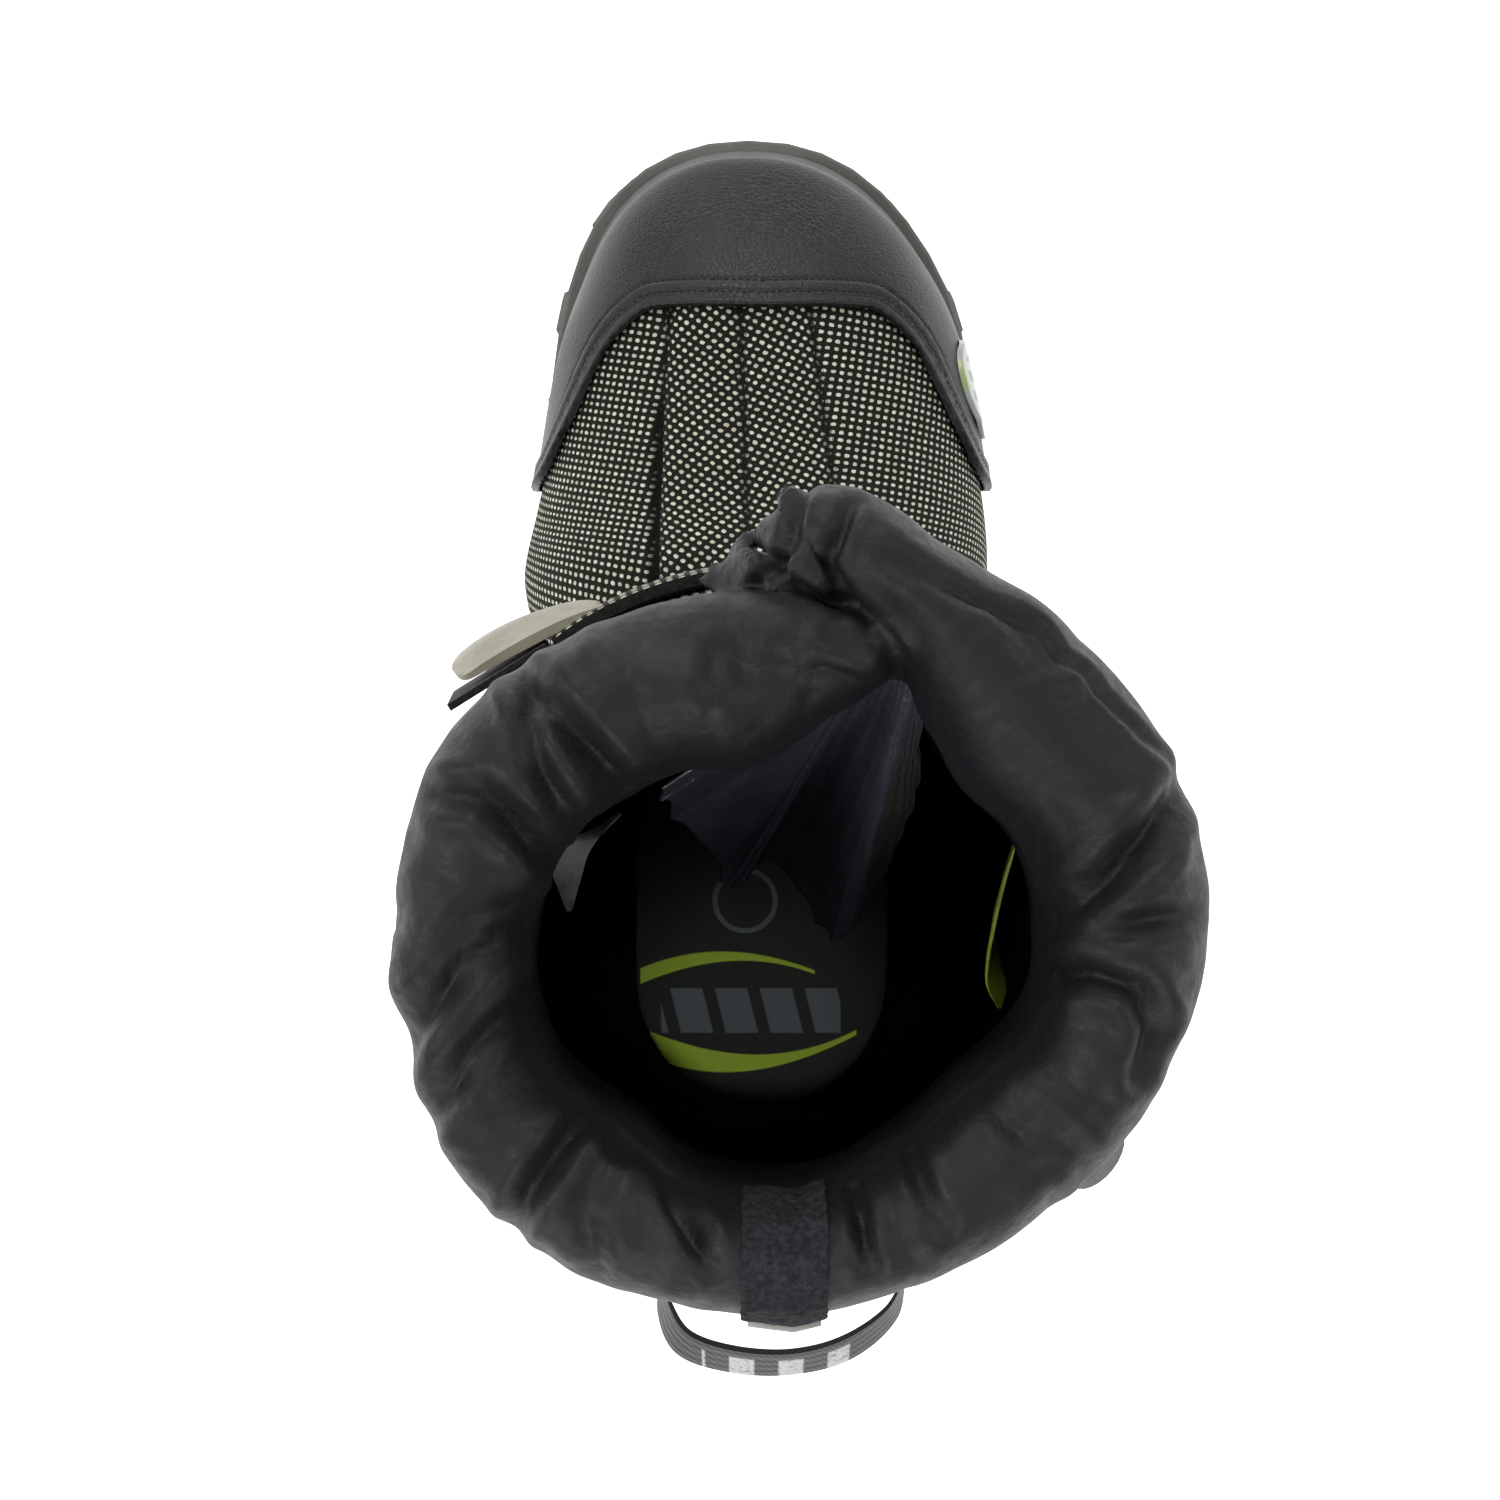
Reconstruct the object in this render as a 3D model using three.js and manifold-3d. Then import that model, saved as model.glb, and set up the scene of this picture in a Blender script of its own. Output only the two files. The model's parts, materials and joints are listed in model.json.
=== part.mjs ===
// A right winter overshoe, in millimetres.
// +Y points to the toe, +X to the lateral side, +Z up; the origin lies on the floor under the heel's centre.
import * as THREE from "three";
import { LoftGeometry } from "three/addons/geometries/LoftGeometry.js";
import { mergeVertices } from "three/addons/utils/BufferGeometryUtils.js";
import Module from "manifold-3d";

const wasm = await Module();
wasm.setup();

// Fit between pieces that meet
const CLEARANCE = 0.3;

// Outsole: outline
const SOLE_LENGTH = 309;
const HEEL_OVERHANG = 46; // from the origin back to the rim
const BALL_WIDTH = 132;
const HEEL_WIDTH = 101;
const TOE_ROUND = 90; // length over which the outline closes at the toe
const HEEL_ROUND = 56;
const OUTLINE_POWER = 2.2;
const TOE_SWING = 4; // the toe's tip to the medial side

// Outsole: heights
const HEEL_BED = 26; // floor to foot bed under the heel
const BALL_BED = 16; // floor to foot bed under the ball
const ARCH_RISE = 9;
const TOE_SPRING = 13;
const RIM_HEIGHT = 13; // foot bed up to the rim's top
const RIM_WALL = 6.5; // rim's edge to the upper
const SIDE_STEP = 1.8; // how far the side wall steps in under the rim
const RIM_BAND = 4; // height of the rim's band

// Outsole: tread
const LUG_DEPTH = 6;
const LUG_LENGTH = 20;
const LUG_END_LENGTH = 11;
const LUG_CHEVRON = 6;
const LUG_CLIMB = 11; // how far a lug's end climbs the side wall
const LUG_STICKOUT = 2.6; // past the rim at the toe
const LUG_GROOVE = 5;
const LUG_GROOVE_OFFSET = 22;
const HEEL_LUG_PITCH = 25;
const HEEL_LUGS = 3;
const FOREFOOT_LUG_PITCH = 32;
const FOREFOOT_LUGS = 6;
const FIRST_FOREFOOT_LUG = 92; // from the origin to the rearmost bar before the arch
const RIB_WIDTH = 3;
const RIB_HEIGHT = 1.3;

// Upper
const WALL = 4;
const INSTEP_HEIGHT = 132;
const INSTEP_BULGE = 10; // how far the vamp bulges over the rim at its fullest
const BULGE_RISE = 15; // from the rim's top up to the widest line
const TOE_DOME = 44; // length over which the toe box closes
const SECTION_POWER = 2.3;
const SHAFT_TOP = 306;
const SHAFT_WIDTH = 146;
const SHAFT_DEPTH = 142;
const SHAFT_LEAN = 7; // the shaft's top to the lateral side
const SHAFT_CENTRE = 38; // the shaft's axis from the origin to the toe
const PLEAT_STEP = 1.6;
const PLEAT_MEDIAL = 29;
const PLEAT_MIDDLE = 5;

// Toe cap
const CAP_THICKNESS = 2.5;
const CAP_EDGE_STEP = 0.9;
const CAP_EDGE_WIDTH = 8;
const CAP_LENGTH = 58; // from the toe's tip back to its straight rear edge
const CAP_WING = 51; // how much further back the wings reach
const CAP_FRONT_WIDTH = 64; // width of the straight rear edge
const CAP_SPREAD = 40; // how far out each wing runs from that edge
const BADGE_LENGTH = 30;
const BADGE_HEIGHT = 24;
const BADGE_THICKNESS = 1.5;
const BADGE_SETBACK = 79; // from the toe's tip back to the badge's centre
const BADGE_RISE = 57; // floor to the badge's centre

// Collar roll
const COLLAR_HEIGHT = 32;
const COLLAR_HANG = 54; // from the shaft's top down to the hem inside
const HEM_THICKNESS = 2.6;
const HEM_FLARE = 3;
const PUCKER = 1.1;
const GUSSET_THICKNESS = 1.6;

// Flap at the front and its ends; turns are degrees from the lateral side
const FLAP_THICKNESS = 4;
const FLAP_TOP_GAP = 9; // below the shaft's top
const FLAP_HEIGHT = 150;
const FLAP_LATERAL_TURN = 52;
const FLAP_MEDIAL_TURN = 132;
const TAB_THICKNESS = 3;
const TAB_WIDTH = 30;
const TAB_LAP = 10; // degrees of the tab that lie on the flap
const TAB_LENGTH = 20; // the free end past the flap
const TAB_TURN = 26; // degrees from the shoe's cross axis
const TAB_FLARE = 0.14; // how far the face leans out for each mm down
const TAB_TOP_GAP = 12;
const STRIP_THICKNESS = 1.6;
const STRIP_LENGTH = 25;
const STRIP_WIDTH = 28;
const STRIP_TURN = 32;

// Trim at the back and the side
const TAPE_WIDTH = 18;
const TAPE_THICKNESS = 1.2;
const PATCH_WIDTH = 15;
const PATCH_HEIGHT = 12;
const PATCH_THICKNESS = 1.2;
const LOOP_WIDTH = 50;
const LOOP_REACH = 13;
const LOOP_WEBBING = 20;
const LOOP_THICKNESS = 1.4;
const LOOP_FLARE = 0.32;
const RING_LENGTH = 16;
const RING_WIDTH = 9;
const RING_ROD = 2.4;
const RING_TURN = -38;
const TRIM_DROP = 6; // from the shaft's top down to the loop and the ring

// Inside
const INSOLE_THICKNESS = 5;
const INNER_TAB_TURN = -3;
const INNER_TAB_SPAN = 38; // degrees
const INNER_TAB_HEIGHT = 36;
const INNER_TAB_LAP = 8; // its upper part on the roll's lining
const INNER_TAB_THICKNESS = 1.2;
const LABEL_TURN = -194;
const LABEL_LENGTH = 15;
const LABEL_REACH = 12;
const LABEL_THICKNESS = 0.8;
const LABEL_SLOPE = 50; // degrees below level
const LABEL_DROP = 4; // from the shaft's top down to its root

// Rows along the outsole, as shares of its length from the heel.
// swing is a share of TOE_SWING to the medial side, ball goes from HEEL_WIDTH (0) to BALL_WIDTH (1).
const SOLE_PLAN = [
  { at: 0, swing: 0, ball: 0 },
  { at: 0.15, swing: 0, ball: 0 },
  { at: 0.27, swing: -0.1, ball: 0 },
  { at: 0.39, swing: -0.4, ball: 0.14 },
  { at: 0.55, swing: -0.1, ball: 0.9 },
  { at: 0.68, swing: 0, ball: 1 },
  { at: 0.83, swing: 0.12, ball: 1.01 },
  { at: 0.94, swing: 0.85, ball: 1.05 },
  { at: 1, swing: 1, ball: 1.05 },
];

// bed goes from BALL_BED (0) to HEEL_BED (1); arch and spring are shares of ARCH_RISE and TOE_SPRING.
const SOLE_LINE = [
  { at: 0, bed: 1, arch: 0, spring: 0.2 },
  { at: 0.05, bed: 1, arch: 0, spring: 0 },
  { at: 0.265, bed: 1, arch: 0, spring: 0 },
  { at: 0.3, bed: 0.95, arch: 1, spring: 0 },
  { at: 0.38, bed: 0.6, arch: 0.9, spring: 0 },
  { at: 0.5, bed: 0.1, arch: 0, spring: 0 },
  { at: 0.73, bed: 0, arch: 0, spring: 0 },
  { at: 0.86, bed: 0, arch: 0, spring: 0.34 },
  { at: 1, bed: 0, arch: 0, spring: 1 },
];

// medial and lateral are shares of INSTEP_BULGE, top of INSTEP_HEIGHT above the floor.
const VAMP = [
  { at: 0, medial: 0.45, lateral: 0.45, top: 0.58 },
  { at: 0.15, medial: 0.45, lateral: 0.45, top: 0.64 },
  { at: 0.27, medial: 0.65, lateral: 0.6, top: 0.8 },
  { at: 0.39, medial: 1.2, lateral: 0.95, top: 1 },
  { at: 0.55, medial: 1.45, lateral: 1, top: 1 },
  { at: 0.62, medial: 0.95, lateral: 0.85, top: 0.885 },
  { at: 0.69, medial: 0.5, lateral: 0.55, top: 0.79 },
  { at: 0.76, medial: 0.2, lateral: 0.2, top: 0.71 },
  { at: 0.84, medial: 0.02, lateral: 0.04, top: 0.635 },
  { at: 0.92, medial: 0.06, lateral: 0.08, top: 0.57 },
  { at: 1, medial: 0, lateral: 0, top: 0.5 },
];

// Rings of the shaft: at is a share of SHAFT_TOP, lean of SHAFT_LEAN, width and depth of the shaft's.
const SHAFT = [
  { at: 0.16, lean: 0, forward: -13, width: 0.6, depth: 0.9 },
  { at: 0.24, lean: 0, forward: -11, width: 0.645, depth: 0.965 },
  { at: 0.3, lean: 0, forward: -8, width: 0.7, depth: 1.03 },
  { at: 0.36, lean: 0.05, forward: -5, width: 0.75, depth: 1.06 },
  { at: 0.44, lean: 0.1, forward: -1, width: 0.8, depth: 1.12 },
  { at: 0.55, lean: 0.2, forward: 0, width: 0.85, depth: 1.11 },
  { at: 0.68, lean: 0.45, forward: 0, width: 0.93, depth: 1.1 },
  { at: 0.81, lean: 0.75, forward: 0, width: 1.01, depth: 1.07 },
  { at: 0.93, lean: 0.95, forward: 0, width: 1.05, depth: 1.045 },
  { at: 1, lean: 1, forward: 0, width: 1, depth: 1 },
];

// Sections of the roll from its outer end round to its inner end: turn in degrees from the lateral side,
// outer and inner as shares of the shaft's radius there, rise of COLLAR_HEIGHT, hang of COLLAR_HANG.
const COLLAR = [
  { turn: 93, outer: 1.24, inner: 1.13, rise: 0.45, hang: 0 },
  { turn: 86, outer: 1.27, inner: 1.05, rise: 0.75, hang: 0 },
  { turn: 78, outer: 1.23, inner: 0.97, rise: 0.95, hang: 0 },
  { turn: 70, outer: 1.165, inner: 0.885, rise: 1, hang: 0 },
  { turn: 63, outer: 1.14, inner: 0.8, rise: 1, hang: 0 },
  { turn: 58, outer: 1.13, inner: 0.72, rise: 1, hang: 0.8 },
  { turn: 40, outer: 1.12, inner: 0.6, rise: 1, hang: 1 },
  { turn: 20, outer: 1.12, inner: 0.66, rise: 0.98, hang: 1 },
  { turn: 0, outer: 1.13, inner: 0.69, rise: 0.96, hang: 1 },
  { turn: -22, outer: 1.08, inner: 0.7, rise: 0.96, hang: 1 },
  { turn: -43, outer: 1.03, inner: 0.635, rise: 0.96, hang: 1 },
  { turn: -66, outer: 1.04, inner: 0.68, rise: 0.97, hang: 1 },
  { turn: -90, outer: 1.1, inner: 0.765, rise: 0.95, hang: 1 },
  { turn: -112, outer: 1.11, inner: 0.77, rise: 0.97, hang: 1 },
  { turn: -131, outer: 1.145, inner: 0.725, rise: 1, hang: 1 },
  { turn: -152, outer: 1.15, inner: 0.79, rise: 0.98, hang: 1 },
  { turn: -180, outer: 1.137, inner: 0.76, rise: 0.96, hang: 1 },
  { turn: -205, outer: 1.13, inner: 0.67, rise: 0.98, hang: 1 },
  { turn: -217, outer: 1.09, inner: 0.6, rise: 1, hang: 1 },
  { turn: -236, outer: 1.02, inner: 0.54, rise: 1, hang: 1 },
  { turn: -250, outer: 0.99, inner: 0.5, rise: 0.98, hang: 0.9 },
  { turn: -264, outer: 0.95, inner: 0.53, rise: 0.95, hang: 0.6 },
  { turn: -276, outer: 0.91, inner: 0.62, rise: 0.85, hang: 0.3 },
  { turn: -284, outer: 0.87, inner: 0.7, rise: 0.7, hang: 0 },
  { turn: -290, outer: 0.84, inner: 0.77, rise: 0.5, hang: 0 },
];

// Folds of the gusset from its medial to its lateral edge: across and forward place its upper edge from the
// shaft's axis, low that of its lower edge, drop its depth below the shaft's top, all in shares of the shaft's
// half depth.
const GUSSET = [
  { across: -0.47, forward: 0.39, lowAcross: -0.3, lowForward: 0.28, drop: 0.7 },
  { across: -0.34, forward: 0.38, lowAcross: -0.2, lowForward: 0.14, drop: 1.05 },
  { across: -0.24, forward: 0.465, lowAcross: -0.1, lowForward: 0.2, drop: 1.1 },
  { across: -0.12, forward: 0.4, lowAcross: 0.0, lowForward: 0.02, drop: 1.35 },
  { across: -0.02, forward: 0.53, lowAcross: 0.1, lowForward: 0.1, drop: 1.35 },
  { across: 0.1, forward: 0.52, lowAcross: 0.17, lowForward: -0.08, drop: 1.45 },
  { across: 0.2, forward: 0.69, lowAcross: 0.26, lowForward: 0.12, drop: 1.25 },
  { across: 0.3, forward: 0.6, lowAcross: 0.34, lowForward: 0.3, drop: 0.9 },
];

const HEEL_END = -HEEL_OVERHANG;
const TOE_END = SOLE_LENGTH - HEEL_OVERHANG;
const STATIONS = 28;
const AROUND = 36;
const DOME_POINTS = 5;
const COLLAR_STEPS = 52;
const FAR = 2 * (SOLE_LENGTH + SHAFT_TOP);

// The column's value between two rows of a table, with a smooth step from row to row.
function stepped(table, column, at) {
  const next = table.findIndex((row) => row.at >= at);
  if (next <= 0) return next === 0 ? table[0][column] : table[table.length - 1][column];
  const low = table[next - 1];
  const high = table[next];
  const share = THREE.MathUtils.smoothstep(at, low.at, high.at);
  return THREE.MathUtils.lerp(low[column], high[column], share);
}

// The column's value on a smooth curve through the rows; key names the column that the rows are ordered by.
function curved(table, column, at, key = "at") {
  const rows = [...table].sort((a, b) => a[key] - b[key]);
  const last = rows.length - 1;
  let i = 0;
  while (i < last - 1 && rows[i + 1][key] < at) i += 1;
  const slope = (n) => {
    const before = rows[Math.max(n - 1, 0)];
    const after = rows[Math.min(n + 1, last)];
    return (after[column] - before[column]) / (after[key] - before[key]);
  };
  const span = rows[i + 1][key] - rows[i][key];
  const t = THREE.MathUtils.clamp((at - rows[i][key]) / span, 0, 1);
  const a = rows[i][column];
  const b = rows[i + 1][column];
  const blend = t * t * (3 - 2 * t);
  const lift = t * (1 - t) * ((1 - t) * slope(i) - t * slope(i + 1)) * span;
  return a + (b - a) * blend + lift;
}

const along = (y) => (y - HEEL_END) / SOLE_LENGTH;
const treadAt = (y) =>
  ARCH_RISE * stepped(SOLE_LINE, "arch", along(y)) + TOE_SPRING * stepped(SOLE_LINE, "spring", along(y));
const bedAt = (y) =>
  THREE.MathUtils.lerp(BALL_BED, HEEL_BED, stepped(SOLE_LINE, "bed", along(y))) +
  TOE_SPRING * stepped(SOLE_LINE, "spring", along(y));
const rimAt = (y) => bedAt(y) + RIM_HEIGHT;
const centreAt = (y) => -TOE_SWING * curved(SOLE_PLAN, "swing", along(y));
const bulgeAt = (y, sign) => INSTEP_BULGE * curved(VAMP, sign < 0 ? "medial" : "lateral", along(y));

// How much of its width the outline keeps near its rounded ends.
function closing(y, inset) {
  const toe = (y - (TOE_END - TOE_ROUND)) / (TOE_ROUND - inset);
  const heel = (HEEL_END + HEEL_ROUND - y) / (HEEL_ROUND - inset);
  const t = THREE.MathUtils.clamp(Math.max(toe, heel), 0, 1);
  return (1 - t ** OUTLINE_POWER) ** (1 / OUTLINE_POWER);
}

// Half the outline's width at y, inset from the rim.
function halfWidth(y, inset) {
  const ball = curved(SOLE_PLAN, "ball", along(y));
  return (THREE.MathUtils.lerp(HEEL_WIDTH, BALL_WIDTH, ball) / 2 - inset) * closing(y, inset);
}

// y at a share of the length, with the stations close together at both ends.
function stationAt(share, inset) {
  const eased = (1 - Math.cos(Math.PI * share)) / 2;
  return THREE.MathUtils.lerp(HEEL_END + inset, TOE_END - inset, eased);
}

// A closed solid of a geometry: its positions merged, its flat triangles dropped, its faces turned out.
function solidOf(geometry) {
  const bare = new THREE.BufferGeometry();
  bare.setAttribute("position", geometry.getAttribute("position"));
  bare.setIndex(geometry.index);
  const merged = mergeVertices(bare, 1e-4);
  const place = merged.getAttribute("position");
  const corner = (n) => new THREE.Vector3().fromBufferAttribute(place, n);
  const triangles = [];
  let volume = 0;
  for (let i = 0; i < merged.index.count; i += 3) {
    const face = [0, 1, 2].map((n) => merged.index.getX(i + n));
    if (new Set(face).size < 3) continue;
    triangles.push(face);
    const [a, b, c] = face.map(corner);
    volume += a.dot(b.cross(c));
  }
  const turned = volume < 0 ? triangles.map(([a, b, c]) => [a, c, b]) : triangles;
  return new wasm.Manifold(
    new wasm.Mesh({
      numProp: 3,
      vertProperties: place.array,
      triVerts: new Uint32Array(turned.flat()),
    }),
  );
}

// A solid through rings of points; capped adds a face at both ends, and without it the end rings are closed lines.
function lofted(sections, capped = true) {
  const middle = (ring) => ring.reduce((sum, p) => sum.add(p), new THREE.Vector3()).divideScalar(ring.length);
  const [first, second] = sections;
  const normal = new THREE.Vector3();
  first.forEach((p, n) => normal.add(p.clone().cross(first[(n + 1) % first.length])));
  const backwards = capped && normal.dot(middle(second).sub(middle(first))) < 0;
  const rings = backwards ? sections.map((ring) => [...ring].reverse()) : sections;
  return solidOf(new LoftGeometry(rings, { capStart: capped, capEnd: capped }));
}

// A plan outline drawn in X and Y and raised from low to high.
function column(points, low, high) {
  const shape = new THREE.Shape(points.map(([x, y]) => new THREE.Vector2(x, y)));
  const geometry = new THREE.ExtrudeGeometry(shape, { depth: high - low, bevelEnabled: false });
  geometry.translate(0, 0, low);
  return solidOf(mergeVertices(geometry));
}

// The biggest of the bodies that a cut leaves.
const largest = (solid) => solid.decompose().sort((a, b) => b.volume() - a.volume())[0];

const joined = (solids) => solids.reduce((whole, next) => whole.add(next));

// A long form whose lines run from heel to toe. Each line has an inset from the rim and a height for each y,
// listed from the bottom up, and both ends close on the centre line.
function longForm(lines) {
  const sections = [];
  for (let n = 0; n <= STATIONS; n += 1) {
    const share = n / STATIONS;
    const side = (line, sign) => {
      const y = stationAt(share, line.inset);
      const half = n === 0 || n === STATIONS ? 0 : line.half(y, sign);
      return new THREE.Vector3(centreAt(y) + sign * half, y, line.z(y));
    };
    const lateral = lines.map((line) => side(line, 1));
    const medial = lines.map((line) => side(line, -1)).reverse();
    sections.push([...lateral, ...medial]);
  }
  return lofted(sections, false);
}

const line = (inset, z) => ({ inset, z, half: (y) => halfWidth(y, inset) });

// The foot's form, grown by an offset, from a bottom height up to the vamp's dome.
function footForm(offset, bottom) {
  const inset = RIM_WALL - offset;
  const wide = (y) => rimAt(y) + BULGE_RISE;
  const top = (y) => {
    const reach = (y - (TOE_END - inset - TOE_DOME)) / TOE_DOME;
    const t = THREE.MathUtils.clamp(reach, 0, 1);
    const height = INSTEP_HEIGHT * curved(VAMP, "top", along(y)) + offset - wide(y);
    return height * (1 - t ** SECTION_POWER) ** (1 / SECTION_POWER);
  };
  const dome = (step) => {
    const angle = (step / DOME_POINTS) * (Math.PI / 2);
    const side = Math.cos(angle) ** (2 / SECTION_POWER);
    const up = Math.sin(angle) ** (2 / SECTION_POWER);
    return {
      inset,
      half: (y, sign) => halfWidth(y, inset - bulgeAt(y, sign)) * side,
      z: (y) => wide(y) + top(y) * up,
    };
  };
  const lines = [line(inset, bottom), line(inset, (y) => Math.max(rimAt(y), bottom(y)) + 1)];
  for (let step = 0; step <= DOME_POINTS; step += 1) lines.push(dome(step));
  return longForm(lines);
}

// A point of the shaft's ring at a share of its height; turn is the angle from the lateral side.
function ringRadius(share, turn, offset) {
  const half = (SHAFT_WIDTH / 2) * curved(SHAFT, "width", share) + offset;
  const deep = (SHAFT_DEPTH / 2) * curved(SHAFT, "depth", share) + offset;
  const x = Math.abs(Math.cos(turn)) / half;
  const y = Math.abs(Math.sin(turn)) / deep;
  return (x ** OUTLINE_POWER + y ** OUTLINE_POWER) ** (-1 / OUTLINE_POWER);
}

function ringPoint(share, turn, radius, z) {
  const x = SHAFT_LEAN * curved(SHAFT, "lean", share) + radius * Math.cos(turn);
  const y = SHAFT_CENTRE + curved(SHAFT, "forward", share) + radius * Math.sin(turn);
  return new THREE.Vector3(x, y, z);
}

// The shaft's form, grown by an offset; above carries it past the shaft's top.
function shaftForm(offset, above) {
  const first = SHAFT[0].at;
  const heights = SHAFT.map((row) => row.at).flatMap((at, n) => {
    const before = n ? SHAFT[n - 1].at : at;
    return n ? [(at + before) / 2, at] : [at];
  });
  const ring = (share, z) => {
    const points = [];
    for (let n = 0; n < AROUND; n += 1) {
      const turn = (n / AROUND) * 2 * Math.PI;
      points.push(ringPoint(share, turn, ringRadius(share, turn, offset), z));
    }
    return points;
  };
  const rings = heights.map((share) => ring(share, share * SHAFT_TOP - (share === first ? offset : 0)));
  if (above > 0) rings.push(ring(1, SHAFT_TOP + above));
  return lofted(rings);
}

const material = (color, roughness, metalness = 0) =>
  new THREE.MeshStandardMaterial({ color, roughness, metalness });

const overshoe = new THREE.Group();

function addPiece(name, solid, finish) {
  const mesh = solid.getMesh();
  const geometry = new THREE.BufferGeometry();
  geometry.setAttribute("position", new THREE.BufferAttribute(mesh.vertProperties, 3));
  geometry.setIndex(new THREE.BufferAttribute(mesh.triVerts, 1));
  const piece = new THREE.Mesh(geometry, finish);
  piece.name = name;
  overshoe.add(piece);
}

// Outsole: a cup with a stepped side wall, tread bars whose ends climb it, and ribs between them.
function makeOutsole() {
  const under = (y) => treadAt(y) + LUG_DEPTH;
  const wall = SIDE_STEP;
  const body = longForm([
    line(wall + 2, under),
    line(wall, (y) => under(y) + 2),
    line(wall, (y) => rimAt(y) - RIM_BAND - 2),
    line(0, (y) => rimAt(y) - RIM_BAND),
    line(0, (y) => rimAt(y) - 1),
    line(1, rimAt),
  ]);
  const bars = [];
  const ribs = [];
  const bar = (y, length, endLength) => {
    const half = length / 2;
    const end = half + endLength - length;
    const back = y - 2 * LUG_CHEVRON;
    return column(
      [
        [-BALL_WIDTH, back - end],
        [0, y - half],
        [BALL_WIDTH, back - end],
        [BALL_WIDTH, back + end],
        [0, y + half],
        [-BALL_WIDTH, back + end],
      ],
      -1,
      HEEL_BED + TOE_SPRING,
    );
  };
  const addRow = (y, pitch) => {
    bars.push(bar(y, LUG_LENGTH, LUG_END_LENGTH));
    ribs.push(bar(y + pitch / 2, RIB_WIDTH, RIB_WIDTH));
  };
  for (let n = 0; n < HEEL_LUGS; n += 1) {
    addRow((n - (HEEL_LUGS - 1) / 2) * HEEL_LUG_PITCH, HEEL_LUG_PITCH);
  }
  for (let n = 0; n < FOREFOOT_LUGS; n += 1) {
    addRow(FIRST_FOREFOOT_LUG + n * FOREFOOT_LUG_PITCH, FOREFOOT_LUG_PITCH);
  }
  const stickout = (y) => LUG_STICKOUT * THREE.MathUtils.smoothstep(along(y), 0.6, 0.8);
  const lugLine = (inset, z) => ({ inset, z, half: (y) => halfWidth(y, inset - stickout(y)) });
  const lugs = longForm([
    lugLine(1, treadAt),
    lugLine(0, (y) => treadAt(y) + 3),
    lugLine(0, (y) => under(y) + LUG_CLIMB - 4),
    lugLine(wall + 1, (y) => under(y) + LUG_CLIMB),
  ]);
  const ribBand = longForm([
    line(wall - RIB_HEIGHT, (y) => under(y) + 2),
    line(wall - RIB_HEIGHT, (y) => rimAt(y) - RIM_BAND - 3),
  ]);
  const groove = (sign) => {
    const x = sign * LUG_GROOVE_OFFSET;
    const edge = LUG_GROOVE / 2;
    const sections = [];
    for (let n = 0; n <= STATIONS; n += 1) {
      const y = stationAt(n / STATIONS, -LUG_STICKOUT);
      const low = treadAt(y) - 1;
      const high = treadAt(y) + LUG_DEPTH - 1;
      sections.push([
        new THREE.Vector3(x - edge, y, low),
        new THREE.Vector3(x + edge, y, low),
        new THREE.Vector3(x + edge, y, high),
        new THREE.Vector3(x - edge, y, high),
      ]);
    }
    return lofted(sections);
  };
  const tread = joined(bars).intersect(lugs).subtract(groove(-1)).subtract(groove(1));
  return body
    .add(joined(ribs).intersect(ribBand))
    .add(tread)
    .subtract(footForm(CLEARANCE, bedAt));
}

const bedOf = (gap) => (y) => bedAt(y) + gap;

// Upper: the foot's and the shaft's forms as one hollow wall, with a step along the pleats of the vamp.
function makeUpper() {
  const outer = footForm(0, bedOf(CLEARANCE)).add(shaftForm(0, 0));
  const inner = footForm(-WALL, bedOf(-WALL)).add(shaftForm(-WALL, WALL));
  const front = TOE_END - CAP_LENGTH - CAP_EDGE_STEP;
  const rear = SHAFT_CENTRE + SHAFT_DEPTH / 2;
  const strip = column(
    [
      [-PLEAT_MEDIAL - 2, rear],
      [-PLEAT_MIDDLE + 1, rear],
      [-PLEAT_MIDDLE - 1, front],
      [-PLEAT_MEDIAL + 2, front],
    ],
    INSTEP_HEIGHT / 2,
    SHAFT_TOP,
  );
  const pleat = footForm(PLEAT_STEP, bedAt).intersect(strip);
  return outer.add(pleat).subtract(inner);
}

// The plan of the toe cap, its rear edge moved forward by a margin.
function capPlan(margin) {
  const straight = TOE_END - CAP_LENGTH + margin;
  const wing = straight - CAP_WING;
  const half = CAP_FRONT_WIDTH / 2 - margin / 2;
  const middle = centreAt(straight);
  const edge = (sign) => {
    const x = (share) => middle + sign * (half + share * CAP_SPREAD);
    return new THREE.CatmullRomCurve3(
      [
        [x(-0.03), straight],
        [x(0.1), straight - CAP_WING * 0.04],
        [x(0.35), straight - CAP_WING * 0.24],
        [x(0.65), straight - CAP_WING * 0.68],
        [x(0.85), wing + CAP_WING * 0.06],
        [x(1), wing],
      ].map(([a, b]) => new THREE.Vector3(a, b, 0)),
    ).getPoints(12);
  };
  const points = [
    ...edge(1).reverse(),
    ...edge(-1),
    new THREE.Vector3(-BALL_WIDTH, wing, 0),
    new THREE.Vector3(-BALL_WIDTH, FAR, 0),
    new THREE.Vector3(BALL_WIDTH, FAR, 0),
    new THREE.Vector3(BALL_WIDTH, wing, 0),
  ];
  return points.map((p) => [p.x, p.y]);
}

const aboveRim = (y) => rimAt(y) + CLEARANCE;

function makeToeCap() {
  const shell = footForm(CLEARANCE + CAP_THICKNESS, aboveRim).intersect(column(capPlan(0), 0, FAR));
  const edge = column(capPlan(0), 0, FAR).subtract(column(capPlan(CAP_EDGE_WIDTH), -1, FAR + 1));
  const raised = footForm(CLEARANCE + CAP_THICKNESS + CAP_EDGE_STEP, aboveRim).intersect(edge);
  return shell.add(raised).subtract(footForm(CLEARANCE, bedOf(-WALL)));
}

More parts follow.
